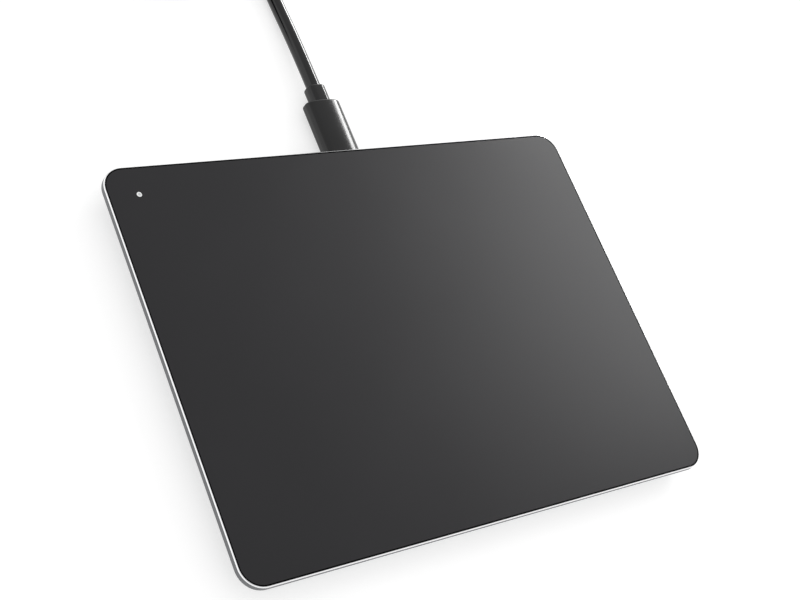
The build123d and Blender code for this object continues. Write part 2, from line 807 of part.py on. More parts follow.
with BuildPart() as usb_c_plug_insulator:
    with BuildSketch(facing_front(grip_low_y + plug_root, port_z)):
        SlotOverall(plug_width - 2 * plug_wall, plug_height - 2 * plug_wall)
    extrude(amount=plug_root + plug_length - plug_tip_gap)
    block(around(0, tongue_width + 2 * slot_gap), (plug_tip_y - overrun, tongue_tip + slot_spare),
          around(port_z, tongue_thickness + 2 * slot_gap), Mode.SUBTRACT)
write(usb_c_plug_insulator, "usb_c_plug_insulator")

with BuildPart() as usb_c_grip:
    with BuildSketch(facing_front(grip_end_y, port_z)):
        RectangleRounded(grip_width, grip_height, grip_corner)
    extrude(amount=grip_length)
    fillet(usb_c_grip.faces().sort_by(Axis.Y)[-1].edges(), grip_edge)
    fillet(usb_c_grip.faces().sort_by(Axis.Y)[0].edges(), grip_edge / 4)
    with BuildSketch(facing_front(grip_low_y + plug_root, port_z)) as socket:
        SlotOverall(plug_width, plug_height)
    extrude(socket.sketch, amount=plug_root + overrun, mode=Mode.SUBTRACT)
write(usb_c_grip, "usb_c_grip")

with BuildPart() as usb_c_boot:
    with BuildSketch(facing_front(boot_end_y, port_z)):
        RectangleRounded(boot_width, boot_height, boot_corner)
    extrude(amount=boot_length)
    fillet(usb_c_boot.faces().sort_by(Axis.Y)[-1].edges(), boot_edge)
write(usb_c_boot, "usb_c_boot")


def corner_radii(points):
    """Largest arc at each corner of a route: a share of the shorter run, over half the turn's tangent."""
    arc_share = 0.45
    radii = []
    for before, corner, after in zip(points, points[1:], points[2:]):
        run_in = Vector(*corner) - Vector(*before)
        run_out = Vector(*after) - Vector(*corner)
        half_turn = radians(run_in.get_angle(run_out)) / 2
        radii.append(arc_share * min(run_in.length, run_out.length) / tan(half_turn))
    return radii


def tube(points, name):
    """Sweep the cable's round section along straight runs and the largest arcs between them."""
    radii = corner_radii(points)
    with BuildPart() as run:
        with BuildLine() as route:
            FilletPolyline(*points, radius=radii)
        path = route.wire()
        with BuildSketch(Plane(origin=path @ 0, z_dir=path % 0)):
            Circle(cable_diameter / 2)
        sweep()
    write(run, name)
    length = path.length
    section = pi * cable_diameter ** 2 / 4
    print(f"{name}: {length:.1f} mm long, arcs of {min(radii):.0f} to {max(radii):.0f} mm,"
          f" volume over section times length {run.part.volume / section / length:.4f}")
    return length


# Free cable from the boot to the coil: straight behind the plug, sinking to the desk
cable_points = [
    (0.0, boot_end_y, port_z),
    (0.0, 91.0, port_z),
    (0.2, 104.0, 3.0),
    (0.1, 117.0, 2.3),
    (-0.3, 130.0, 2.4),
    (0.0, 141.0, coil_low_z),
    (0.0, coil_centre_y - cable_diameter, coil_low_z),
]
cable_length = tube(cable_points, "cable")

# Coil: half turns about two centres half a pitch apart, in along the desk, up one layer over the
# innermost half turn, and out again on top. A quarter turn and a straight piece end it.
half_pitch = coil_pitch / 2
inward = [(0.0, coil_centre_y, coil_low_z)]
turn_radius = coil_outer_radius
side = -1
for _ in range(2 * coil_rows):
    inward.append((inward[-1][0] + side * 2 * turn_radius, coil_centre_y, coil_low_z))
    turn_radius -= half_pitch
    side = -side
climb_depth = sqrt(coil_inner_radius ** 2 + half_pitch ** 2)
climb_middle = (inward[-1][0] - coil_inner_radius, coil_centre_y + climb_depth, coil_low_z + half_pitch)
outward = [(inward[-1][0] - 2 * coil_inner_radius, coil_centre_y, coil_high_z)]
turn_radius = coil_inner_radius
for _ in range(2 * coil_rows - 1):
    turn_radius += half_pitch
    side = -side
    outward.append((outward[-1][0] + side * 2 * turn_radius, coil_centre_y, coil_high_z))
turn_radius += half_pitch
coil_exit_x = outward[-1][0] - turn_radius
with BuildPart() as cable_coil:
    with BuildLine() as coil_line:
        turn = Line((0, coil_centre_y - cable_diameter, coil_low_z), inward[0])
        for point in inward[1:] + [climb_middle] + outward + [(coil_exit_x, tail_y, coil_high_z)]:
            turn = TangentArc(turn @ 1, point, tangent=turn % 1)
        Line(turn @ 1, (coil_exit_x - cable_diameter, tail_y, coil_high_z))
    coil_path = coil_line.wire()
    with BuildSketch(Plane(origin=coil_path @ 0, z_dir=coil_path % 0)):
        Circle(cable_diameter / 2)
    sweep()
write(cable_coil, "cable_coil")
coil_length = coil_path.length

# Tail from the coil's top layer down to the far plug
tail_start_x = coil_exit_x - cable_diameter
far_boot_start = tail_start_x - tail_reach
tail_points = [
    (tail_start_x, tail_y, coil_high_z),
    (tail_start_x - 8.0, tail_y, coil_high_z),
    (tail_start_x - 20.0, tail_y + 0.6, 4.7),
    (tail_start_x - 32.0, tail_y, far_z),
    (far_boot_start, tail_y, far_z),
]
tail_length = tube(tail_points, "cable_tail")

# The coil's least distance to itself, between points that are three diameters or more apart along it
steps = 240 * coil_rows
coil_samples = [coil_path @ (step / steps) for step in range(steps + 1)]
apart = int(3 * cable_diameter * steps / coil_length)
least = min((a - b).length for i, a in enumerate(coil_samples) for b in coil_samples[i + apart:])
print(f"cable_coil: {coil_length:.1f} mm long, least bend radius {coil_inner_radius:.1f} mm,"
      f" least gap to itself {least - cable_diameter:.2f} mm")
print(f"whole cable: {cable_length + coil_length + tail_length:.1f} mm")

# Strap round the near side of the coil
bundle_inner = coil_inner_radius + half_pitch - cable_diameter / 2
bundle_outer = coil_outer_radius - half_pitch + cable_diameter / 2
strap_half = (tie_width + coil_pitch) / 2      # the two layers turn about centres a pitch apart
strap_sag = bundle_inner - sqrt(bundle_inner ** 2 - strap_half ** 2)
strap_inner_y = coil_centre_y - bundle_inner + strap_sag + tie_gap
strap_outer_y = coil_centre_y - bundle_outer - tie_gap
strap_span = strap_inner_y - strap_outer_y
strap_rise = coil_high_z + cable_diameter / 2 + tie_gap - tie_thickness
strap_x = inward[1][0] / 2
with BuildPart() as cable_tie:
    with BuildSketch(facing_left(strap_x + tie_width / 2, (strap_inner_y + strap_outer_y) / 2,
                                 tie_thickness + strap_rise / 2)):
        RectangleRounded(strap_span + 2 * tie_thickness, strap_rise + 2 * tie_thickness,
                         tie_corner + tie_thickness)
        RectangleRounded(strap_span, strap_rise, tie_corner, mode=Mode.SUBTRACT)
    extrude(amount=tie_width)
    block(around(strap_x, tie_width),
          (strap_inner_y - tie_corner - tie_tail, strap_inner_y - tie_corner),
          (2 * tie_thickness + strap_rise, 3 * tie_thickness + strap_rise))
write(cable_tie, "cable_tie")

# Far plug: tapered boot, moulded grip, folded steel shell, core and four contacts
far_grip_start = far_boot_start - far_boot_length
far_grip_end = far_grip_start - far_grip_length
far_shell_end = far_grip_end - far_shell_length
with BuildPart() as usb_a_boot:
    with BuildSketch(facing_left(far_boot_start, tail_y, far_z)):
        RectangleRounded(far_boot_tip, far_boot_tip, far_boot_corner)
    with BuildSketch(facing_left(far_grip_start, tail_y, far_z)):
        RectangleRounded(far_boot_width, far_boot_height, far_boot_corner)
    loft(ruled=True)
write(usb_a_boot, "usb_a_boot")

with BuildPart() as usb_a_grip:
    with BuildSketch(facing_left(far_grip_start, tail_y, far_z)):
        RectangleRounded(far_grip_width, far_grip_height, far_grip_corner)
    extrude(amount=far_grip_length)
    fillet(usb_a_grip.faces().sort_by(Axis.X)[-1].edges(), far_grip_edge)
    fillet(usb_a_grip.faces().sort_by(Axis.X)[0].edges(), far_grip_edge / 4)
    with BuildSketch(facing_left(far_grip_end + far_shell_root, tail_y, far_z)) as socket:
        RectangleRounded(far_shell_width, far_shell_height, far_shell_corner)
    extrude(socket.sketch, amount=far_shell_root + overrun, mode=Mode.SUBTRACT)
write(usb_a_grip, "usb_a_grip")

inside_width = far_shell_width - 2 * far_shell_wall
inside_height = far_shell_height - 2 * far_shell_wall
core_width = inside_width - 2 * far_core_gap
with BuildPart() as usb_a_shell:
    with BuildSketch(facing_left(far_grip_end + far_shell_root, tail_y, far_z)):
        RectangleRounded(far_shell_width, far_shell_height, far_shell_corner)
        RectangleRounded(inside_width, inside_height, far_shell_corner - far_shell_wall, mode=Mode.SUBTRACT)
    extrude(amount=far_shell_root + far_shell_length)
    with BuildSketch(Plane.XY.offset(far_z - far_shell_height)) as latch_windows:
        with Locations((far_shell_end + far_window_inset, tail_y)):
            with GridLocations(far_window, far_window_pitch, 1, 2):
                Rectangle(far_window, far_window)
    extrude(latch_windows.sketch, amount=2 * far_shell_height, mode=Mode.SUBTRACT)
write(usb_a_shell, "usb_a_shell")

core_high = far_z + inside_height / 2 - far_core_gap
core_low = core_high - far_core_share * inside_height
with BuildPart() as usb_a_core:
    block((far_shell_end + far_core_inset, far_grip_end), around(tail_y, core_width), (core_low, core_high))
    block((far_grip_end, far_grip_end + far_shell_root), around(tail_y, core_width),
          (far_z - inside_height / 2 + far_core_gap, core_high))
write(usb_a_core, "usb_a_core")

with BuildPart() as usb_a_contacts:
    with Locations((far_shell_end + 2 * far_core_inset + far_contact_length / 2, tail_y,
                    core_low - far_contact_thickness / 2)):
        with GridLocations(far_contact_length, far_contact_pitch, 1, 4):
            Box(far_contact_length, far_contact_width, far_contact_thickness)
write(usb_a_contacts, "usb_a_contacts")
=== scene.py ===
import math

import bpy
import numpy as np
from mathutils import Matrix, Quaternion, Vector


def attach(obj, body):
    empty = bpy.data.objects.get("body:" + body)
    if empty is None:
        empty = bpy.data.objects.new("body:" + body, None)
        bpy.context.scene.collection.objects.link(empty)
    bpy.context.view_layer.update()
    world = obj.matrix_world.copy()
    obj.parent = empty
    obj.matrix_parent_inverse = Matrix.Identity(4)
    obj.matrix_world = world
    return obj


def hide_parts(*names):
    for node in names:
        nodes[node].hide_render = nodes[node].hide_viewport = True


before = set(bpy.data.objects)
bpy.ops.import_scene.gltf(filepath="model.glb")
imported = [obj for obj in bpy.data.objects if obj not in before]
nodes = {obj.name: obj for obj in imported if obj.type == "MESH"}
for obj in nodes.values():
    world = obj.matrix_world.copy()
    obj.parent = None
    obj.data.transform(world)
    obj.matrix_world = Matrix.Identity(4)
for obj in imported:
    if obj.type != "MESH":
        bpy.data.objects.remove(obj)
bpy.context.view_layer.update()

# %% [markdown]
# # A wired trackpad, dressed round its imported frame
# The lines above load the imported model: 49 pieces that already stand at their real size, in metres,
# with X to the right, Y to the rear and Z up. Nothing here moves or resizes them. This lesson gives
# them their finish, and models again the pieces that the eye rests on: the glass, the light, the
# bright rim, the feet, the plugs, the strap and the long cable.
#
# Sizes are written in millimetres and turned to metres by `MM`, because a maker thinks in
# millimetres and Blender works in metres.

MM = 0.001
scene = bpy.context.scene

# %% [markdown]
# ## The camera
# The photograph looks down on the pad from the front left, with the camera rolled by about 45
# degrees, so that the pad seems to stand on one corner. A camera could be aimed with a Track To
# constraint, but that always keeps the horizon level. A roll like this one is easier to say as
# three directions at right angles: where the picture's right, its top and its near side point.

# %% Camera from its three directions
CAMERA_PLACE = Vector((-236.49, -116.98, 309.05)) * MM
PICTURE_RIGHT = Vector((0.80461, -0.36405, 0.46912))
PICTURE_TOP = Vector((0.12596, 0.87668, 0.46429))
FOCAL_LENGTH = 63.81
SENSOR_WIDTH = 36.0
CLIP_START = 10.0

right = PICTURE_RIGHT.normalized()
near = right.cross(PICTURE_TOP).normalized()
top = near.cross(right)
lens = bpy.data.cameras.new("photo_camera")
lens.lens = FOCAL_LENGTH
lens.sensor_width = SENSOR_WIDTH
lens.clip_start = CLIP_START * MM
camera = bpy.data.objects.new("photo_camera", lens)
turn = Matrix((right, top, near)).transposed().to_4x4()
camera.matrix_world = Matrix.Translation(CAMERA_PLACE) @ turn
scene.collection.objects.link(camera)
scene.camera = camera
print("camera height:", round(camera.matrix_world.translation.z / MM), "mm, lens", FOCAL_LENGTH, "mm")

# %% [markdown]
# ## The cable
# The lead is one round cable, 4.5 mm thick and about a metre long. It leaves the plug's boot, sinks
# to the desk and ends in a coil behind the pad, with the computer's plug beside it. A mesh tube
# could follow the route, but a NURBS curve is what a smooth bend wants: its control points are a
# few places that the cable is drawn towards, and the curve passes smoothly between them.
#
# The free stretches have their points listed one by one. The coil's points come from a formula. Each
# half turn is a half circle whose centre lies half a pitch to one side of the last one's, which makes
# the spiral, and eight control points stand on it a little outside, because a curve of order 3 runs
# through the middle of each line between two points.

# %% The free stretches of the route, in millimetres
CABLE_DIAMETER = 4.5
BOOT_END_Y = 83.9
PORT_Z = 3.7
COIL_CENTRE_Y = 154.0
COIL_PITCH = 4.8
COIL_INNER_RADIUS = 16.0
COIL_ROWS = 3
COIL_LOW_Z = 2.85
COIL_HIGH_Z = COIL_LOW_Z + COIL_PITCH
COIL_OUTER_RADIUS = COIL_INNER_RADIUS + COIL_ROWS * COIL_PITCH
TAIL_Y = COIL_CENTRE_Y + COIL_OUTER_RADIUS
COIL_EXIT_X = -COIL_OUTER_RADIUS
TAIL_START_X = COIL_EXIT_X - CABLE_DIAMETER
TAIL_REACH = 43.0
FAR_Z = 3.8

cable_points = [
    (0.0, BOOT_END_Y, PORT_Z),
    (0.0, 91.0, PORT_Z),
    (0.2, 104.0, 3.0),
    (0.1, 117.0, 2.3),
    (-0.3, 130.0, 2.4),
    (0.0, 141.0, COIL_LOW_Z),
    (0.0, COIL_CENTRE_Y - CABLE_DIAMETER, COIL_LOW_Z),
]
tail_points = [
    (TAIL_START_X, TAIL_Y, COIL_HIGH_Z),
    (TAIL_START_X - 8.0, TAIL_Y, COIL_HIGH_Z),
    (TAIL_START_X - 20.0, TAIL_Y + 0.6, 4.7),
    (TAIL_START_X - 32.0, TAIL_Y, FAR_Z),
    (TAIL_START_X - TAIL_REACH, TAIL_Y, FAR_Z),
]
print("free stretches:", len(cable_points), "points at the pad,", len(tail_points), "at the far end")

# %% The coil's points, half turn by half turn
POINTS_PER_HALF_TURN = 8


def half_turn_points(start_x, radius, side, low, high, share=1.0):
    """Control points of a half turn from start_x, or of a share of it, and the x where it ends.

    Point j stands at the angle (j + 1/2) times the step round the centre. Its radius is the turn's
    over the cosine of half a step, so the middle of each line between two points is on the turn.
    The height follows the distance covered across the coil, from low to high."""
    step = math.pi / POINTS_PER_HALF_TURN
    angles = (np.arange(round(POINTS_PER_HALF_TURN * share)) + 1 / 2) * step
    reach = radius / math.cos(step / 2)
    x = start_x - side * (radius - reach * np.cos(angles))
    y = COIL_CENTRE_Y + side * reach * np.sin(angles)
    z = low + (high - low) * (1 - np.cos(angles)) / 2
    return np.stack([x, y, z], axis=1), start_x - side * 2 * radius


radii = [COIL_OUTER_RADIUS - turn * COIL_PITCH / 2 for turn in range(2 * COIL_ROWS)]
heights = [(COIL_LOW_Z, COIL_LOW_Z)] * len(radii)
radii += [COIL_INNER_RADIUS]
heights += [(COIL_LOW_Z, COIL_HIGH_Z)]
radii += [COIL_INNER_RADIUS + (turn + 1) * COIL_PITCH / 2 for turn in range(2 * COIL_ROWS)]
heights += [(COIL_HIGH_Z, COIL_HIGH_Z)] * (2 * COIL_ROWS)
shares = [1.0] * (len(radii) - 1) + [0.5]  # the tail leaves halfway round the last one
coil_points = []
turn_x = 0.0
for number, (radius, (low, high), share) in enumerate(zip(radii, heights, shares)):
    points, turn_x = half_turn_points(turn_x, radius, 1 - 2 * (number % 2), low, high, share)
    coil_points.append(points)
coil_points = np.concatenate(coil_points)
print("coil:", len(coil_points), "control points,", sum(shares), "half turns")

# %% One spline for the whole cable
control = np.concatenate([cable_points, coil_points, tail_points]) * MM
cable_curve = bpy.data.curves.new("cable", "CURVE")
cable_curve.dimensions = "3D"
spline = cable_curve.splines.new("NURBS")
spline.points.add(len(control) - 1)
spline.points.foreach_set("co", np.column_stack([control, np.ones(len(control))]).ravel())
spline.points.foreach_set("radius", np.full(len(control), CABLE_DIAMETER / 2 * MM))
spline.order_u = 3
spline.use_endpoint_u = True
spline.resolution_u = 8
spline.use_smooth = True
cable_curve.bevel_depth = 1.0  # times each point's radius
cable_curve.bevel_resolution = 6
cable_curve.use_fill_caps = True
cable = bpy.data.objects.new("cable_lead", cable_curve)
scene.collection.objects.link(cable)
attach(cable, "usb_lead")
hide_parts("cable", "cable_coil", "cable_tail")
print("cable: one spline of", len(spline.points), "control points")

# %% [markdown]
# ## Colours and nodes
# A colour is written as the sRGB hex value that a painter or a screen would name. Shaders add up
# light, so they want it linear, and one function turns it. A second function adds a node to a
# material, with its settings and its links in one call, which keeps every material short.

# %% A colour and a node


def linear(code):
    """Linear colour of an sRGB hex value: the low end is over 12.92, the rest a power of 2.4."""
    share = np.array([int(code[place:place + 2], 16) for place in (1, 3, 5)]) / 255
    curve = ((share + 0.055) / 1.055) ** 2.4
    return (*np.where(share <= 0.04045, share / 12.92, curve).tolist(), 1.0)


def add(tree, kind, inputs=None, **settings):
    """Add one node. Settings are its own options; inputs pairs a socket with a value or an output."""
    made = tree.nodes.new(kind)
    for name, value in settings.items():
        setattr(made, name, value)
    for socket, value in (inputs or {}).items():
        if isinstance(value, bpy.types.NodeSocket):
            tree.links.new(value, made.inputs[socket])
        else:
            made.inputs[socket].default_value = value
    return made


print("mid grey #808080 is", round(linear("#808080")[0], 3), "when linear")

# %% [markdown]
# ## A material from start to end
# Every finish here starts with the place of each point on the object, because a pattern has to lie
# still on its piece, and ends in one Principled shader. What differs is what stands between the two,
# so the start and the end are functions, and each finish below is only its own few lines.

# %% Start, end and wearing of a material


def start_material(name):
    """A new material with an empty tree, and the place of each point on the object, in metres."""
    print("finish:", name)
    material = bpy.data.materials.new(name)
    material.use_nodes = True
    tree = material.node_tree
    tree.nodes.clear()
    place = add(tree, "ShaderNodeTexCoord").outputs["Object"]
    return material, tree, place


def finish_material(tree, **sockets):
    """Close a tree with a Principled shader, whose sockets are named with _ for each space."""
    shader = add(tree, "ShaderNodeBsdfPrincipled",
                 {name.replace("_", " "): value for name, value in sockets.items()})
    add(tree, "ShaderNodeOutputMaterial", {"Surface": shader.outputs["BSDF"]})


def wear(obj, *materials):
    """Give an object these materials, in the order of its faces' material numbers."""
    obj.data.materials.clear()
    for material in materials:
        obj.data.materials.append(material)


# %% [markdown]
# ## Patterns with a real size
# A surface looks real when its colour, gloss and relief vary a little, at the size at which the real
# one varies. So every pattern takes its size in millimetres. An image could carry the pattern too,
# but noise worked out from the place needs no file and never shows a seam.

# %% Noise, and what it drives
NOISE_LOW, NOISE_HIGH = 0.3, 0.7  # nearly all of the noise lies between these


def grain(tree, place, size, detail=2.0, stretch=(1, 1, 1)):
    """Soft noise whose lumps are about size millimetres across, stretched along the axes."""
    spread = add(tree, "ShaderNodeMapping", {"Vector": place, "Scale": stretch}).outputs["Vector"]
    return add(tree, "ShaderNodeTexNoise",
               {"Vector": spread, "Scale": 1 / (size * MM), "Detail": detail}).outputs["Fac"]


def ramp(tree, value, start, end, low=0.0, high=1.0, kind="LINEAR"):
    """A number that goes from low to high as the value goes from start to end, and stays there."""
    return add(tree, "ShaderNodeMapRange", {"Value": value, "From Min": start, "From Max": end,
                                            "To Min": low, "To Max": high},
               interpolation_type=kind).outputs["Result"]


def between(tree, share, low, high):
    """A number that goes from low to high as share goes over the middle of the noise's range."""
    return ramp(tree, share, NOISE_LOW, NOISE_HIGH, low, high)


def reckon(tree, operation, first, second):
    """The sum, the product or the greater of two numbers, as the operation says."""
    return add(tree, "ShaderNodeMath", {0: first, 1: second}, operation=operation).outputs["Value"]


def blend_colours(tree, share, first, second):
    """A colour between two sRGB hex values."""
    mix = add(tree, "ShaderNodeMix", {"Factor": share}, data_type="RGBA")
    mix.inputs["A"].default_value = linear(first)
    mix.inputs["B"].default_value = linear(second)
    return mix.outputs["Result"]


def bump(tree, height, depth):
    """Normals tilted as a relief of this depth, in millimetres, would tilt them."""
    return add(tree, "ShaderNodeBump", {"Height": height, "Distance": depth * MM}).outputs["Normal"]


# %% [markdown]
# ## Finish of the glass
# The touch plate is soda-lime glass, etched on its face and printed black behind. The etch gives it
# a satin look: it mirrors the room as a broad soft glow and no sharp picture. A transparent shader
# over a black sheet would show the same at a higher price, because nothing is seen through the
# print. So the glass is an opaque dark body with nearly the index of glass and a broad reflection.

# %% Satin glass
satin_glass, tree, place = start_material("etched_black_printed_glass")
# The real etch pits are 0.04 mm across, drawn ten times as coarse to show.
etch = grain(tree, place, size=0.45, detail=3.0)
haze = grain(tree, place, size=38.0)  # how evenly the acid bit, over a few centimetres
finish_material(
    tree, Base_Color=blend_colours(tree, haze, "#100f13", "#131216"),
    Roughness=between(tree, haze, 0.285, 0.305),
    IOR=1.45,
    Normal=bump(tree, etch, depth=0.002),
)

# %% [markdown]
# ## Finish of the metal
# The frame is aluminium, blasted with fine beads and anodised, which gives a matt wall. Its grey is
# painted darker than silver aluminium, as painted shade on the side walls. Its upper edge was cut
# afterwards with a diamond, so it is bare, bright and nearly a mirror. They are two finishes of one
# metal: the first has a fine pebbled relief and is rough, the second has long fine cutter lines
# along it and is smooth.

# %% Blasted and cut aluminium
blasted, tree, place = start_material("blasted_anodised_aluminium")
beads = grain(tree, place, size=0.22)  # bead pits of 0.1 mm, drawn twice as coarse to show
patches = grain(tree, place, size=14.0)  # how evenly the beads fell, over a centimetre or so
# The grey is darker than bare aluminium: painted shade on the side walls.
finish_material(
    tree, Base_Color=blend_colours(tree, patches, "#727375", "#797a7c"),
    Metallic=1.0,
    Roughness=between(tree, patches, 0.40, 0.46),
    Normal=bump(tree, beads, depth=0.006),
)

cut_edge, tree, place = start_material("diamond_cut_aluminium")
# The cutter's lines are 0.02 mm apart, drawn six times as coarse to show, and run along the edge.
cutter_lines = grain(tree, place, size=0.12, detail=1.0, stretch=(0.05, 0.05, 1.0))
finish_material(
    tree, Base_Color=linear("#f8f8f9"),
    Metallic=1.0,
    Roughness=between(tree, cutter_lines, 0.16, 0.24),
    Normal=bump(tree, cutter_lines, depth=0.001),
)

# %% [markdown]
# ## Finish of the mouldings
# The bottom cover is moulded ABS with silver flake in it, and a spark-eroded mould has left a fine
# grain. The plugs and the cable are black thermoplastic elastomer, smooth from the mould and a
# little glossy. They differ in what the mould or the die did to them, so each has its own relief.

# %% Silver cover
silver_abs, tree, place = start_material("silver_moulded_abs")
sparks = grain(tree, place, size=0.35, detail=3.0)  # spark pits of 0.1 mm, drawn coarser to show
flow = grain(tree, place, size=22.0)  # clouds of flake where the melt flowed
finish_material(
    tree, Base_Color=blend_colours(tree, flow, "#8c8e90", "#939597"),
    Roughness=between(tree, sparks, 0.46, 0.58),
    IOR=1.53,
    Normal=bump(tree, sparks, depth=0.012),
)

# %% Black plugs and cable jacket
black_elastomer, tree, place = start_material("moulded_black_elastomer")
skin = grain(tree, place, size=0.4)
gloss = grain(tree, place, size=6.0)  # glossier and duller spots, as fingers leave them
finish_material(
    tree, Base_Color=blend_colours(tree, gloss, "#0b0b0c", "#101011"),
    Roughness=between(tree, gloss, 0.17, 0.20),
    IOR=1.5,
    Normal=bump(tree, skin, depth=0.004),
)

jacket, tree, place = start_material("extruded_cable_jacket")
die_lines = grain(tree, place, size=0.6)  # small unevenness that the die leaves in the jacket
finish_material(
    tree, Base_Color=blend_colours(tree, die_lines, "#0e0e0f", "#131314"),
    Roughness=between(tree, die_lines, 0.13, 0.16),
    IOR=1.5,
    Normal=bump(tree, die_lines, depth=0.006),
)
wear(cable, jacket)

# %% [markdown]
# ## Painted gap shade and rubber
# The inner wall and the ledge that show in the gap round the glass are coloured near-black and matt:
# painted shade for the narrow gap, which reads as a black line. The feet are silicone rubber, a
# dark grey that dust turns a little lighter. Both are rough, so neither mirrors anything, and colour
# does the work.

# %% Painted shade in the gap, and rubber
# Near-black painted shade, for the faces that show in the gap round the glass.
gap_painted_shade, tree, place = start_material("near_black_painted_gap_shade")
finish_material(
    tree, Base_Color=linear("#070708"),
    Roughness=0.8,
    Normal=bump(tree, grain(tree, place, size=0.3), depth=0.008),
)

rubber, tree, place = start_material("matt_silicone_rubber")
dust = grain(tree, place, size=2.5, detail=4.0)
finish_material(
    tree, Base_Color=blend_colours(tree, dust, "#26272a", "#34363a"),
    Roughness=between(tree, dust, 0.72, 0.86),
    IOR=1.41,
    Normal=bump(tree, grain(tree, place, size=0.3), depth=0.010),
)

# %% [markdown]
# ## Surfaces from arrays
# Nearly every piece here is an outline carried along something: the pad's rounded rectangle carried
# through a profile of insets and heights, or a plug's rounded section carried along its length. So
# one function gives the outline of a rounded rectangle for many sizes at once, and another joins
# rows of points into faces. The bmesh tools could extrude and bevel such shapes step by step, but
# an array says in one line where every point lies.

# %% Outline of a rounded rectangle
CORNER_STEPS = 12


def rounded_outline(width, depth, radius, corner_steps=CORNER_STEPS, side_steps=1):
    """Outline of a rectangle with round corners, anticlockwise, for one size or many.

    A corner is its centre plus its radius times the cosine and sine of an angle over a quarter
    turn. A side is a straight line from one corner's end to the next one's start."""
    width, depth, radius = (np.asarray(size, float)[..., None] for size in (width, depth, radius))
    quarter = np.linspace(0, math.pi / 2, corner_steps + 1)
    corners = []
    for number, (sign_x, sign_y) in enumerate(((1, 1), (-1, 1), (-1, -1), (1, -1))):
        angle = quarter + number * math.pi / 2
        corners.append((sign_x * (width / 2 - radius) + radius * np.cos(angle),
                        sign_y * (depth / 2 - radius) + radius * np.sin(angle)))
    along = np.arange(1, side_steps) / side_steps
    pieces = []
    for number, (x, y) in enumerate(corners):
        next_x, next_y = corners[(number + 1) % 4]
        pieces.append(np.stack([x, y], axis=-1))
        side = [end[..., -1:] + (start[..., :1] - end[..., -1:]) * along
                for end, start in ((x, next_x), (y, next_y))]
        pieces.append(np.stack(side, axis=-1))
    return np.concatenate(pieces, axis=-2)


print("an outline has", len(rounded_outline(3.0, 2.0, 0.5)), "points")

# %% Rows, the faces between them, caps and small rounds


def lifted(flat, heights):
    """Outlines (row, column, 2) with each row lifted to its own height."""
    return np.concatenate([flat, np.broadcast_to(heights[:, None, None], flat.shape[:2] + (1,))], axis=-1)


def row_faces(rows, columns, close_rows=False):
    """Faces between neighbouring rows of a grid whose columns go all the way round."""
    row = np.arange(rows if close_rows else rows - 1)[:, None]
    column = np.arange(columns)[None, :]
    above, beside = (row + 1) % rows, (column + 1) % columns
    corners = [row * columns + column, row * columns + beside,
               above * columns + beside, above * columns + column]
    return np.stack(corners, axis=-1).reshape(-1, 4).tolist()


def capped_rows(rows):
    """A (rows, columns, 3) grid closed by a flat face over its first row and its last."""
    count, columns = rows.shape[:2]
    first = list(range(columns - 1, -1, -1))
    last = list(range((count - 1) * columns, count * columns))
    return rows, row_faces(count, columns) + [first, last]


def rounding(steps=4):
    """How far in and how far back a quarter round goes, each from 0 to 1: the face, then the side."""
    angle = np.linspace(0, math.pi / 2, steps + 1)
    return 1 - np.sin(angle), 1 - np.cos(angle)


# %% [markdown]
# ## From points to a piece
# A piece may be made of several closed parts, such as a rim and its ears. Their points are put one
# after another and their faces' numbers raised to match. The normals are then turned outwards, and
# a Weighted Normal modifier lets the large flat faces keep their own, so that a narrow bevel shades
# as a soft edge and not as a smear across the whole face.

# %% Making a piece and settling it


def make_piece(name, parts, sharp=35.0):
    """Mesh object from (points, faces) parts, in millimetres, with its normals turned outwards."""
    points, faces, start = [], [], 0
    for part_points, part_faces in parts:
        points.append(np.reshape(part_points, (-1, 3)))
        faces += [[start + corner for corner in face] for face in part_faces]
        start += len(points[-1])
    mesh = bpy.data.meshes.new(name)
    mesh.from_pydata(np.concatenate(points) * MM, [], faces)
    piece = bpy.data.objects.new(name, mesh)
    scene.collection.objects.link(piece)
    bpy.context.view_layer.objects.active = piece
    bpy.ops.object.mode_set(mode="EDIT")
    bpy.ops.mesh.select_all(action="SELECT")
    bpy.ops.mesh.normals_make_consistent(inside=False)
    bpy.ops.object.mode_set(mode="OBJECT")
    mesh.shade_smooth()
    mesh.set_sharp_from_angle(angle=math.radians(sharp))
    weighted = piece.modifiers.new("large_faces_stay_flat", "WEIGHTED_NORMAL")
    weighted.keep_sharp = True
    print(name, len(mesh.vertices), "points,", len(mesh.polygons), "faces")
    return piece


def settle(piece, body, slot, *stands_for):
    """Let a piece ride on a body and hide the nodes that it stands for; the slot is not used."""
    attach(piece, body)
    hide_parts(*stands_for)


# %% [markdown]
# ## The touch glass
# The plate is 1.1 mm of glass with a seamed edge, a fine slope ground round it so that it can't cut a
# finger. Near its rear left corner a small hole takes the pin of the status light. The top face is a
# ring of faces from the plate's outline to the hole: each point of the outline is joined to the
# point of the hole that lies towards it. A boolean would cut the hole too, but leaves long slivers.

# %% Rows round the pad
PAD_WIDTH = 160.0
PAD_DEPTH = 118.5
PAD_HEIGHT = 8.0
CORNER_RADIUS = 6.5


def pad_rows(insets, heights, side_steps=1):
    """The pad's outline at each inset and height: rows of points of one closed surface."""
    return lifted(rounded_outline(PAD_WIDTH - 2 * insets, PAD_DEPTH - 2 * insets, CORNER_RADIUS - insets,
                                  side_steps=side_steps), heights)


def towards(centre, points, radius):
    """Points at a radius round a centre, each on the line from it to one of the points given."""
    away = points - centre
    return centre + radius * away / np.linalg.norm(away, axis=-1, keepdims=True)


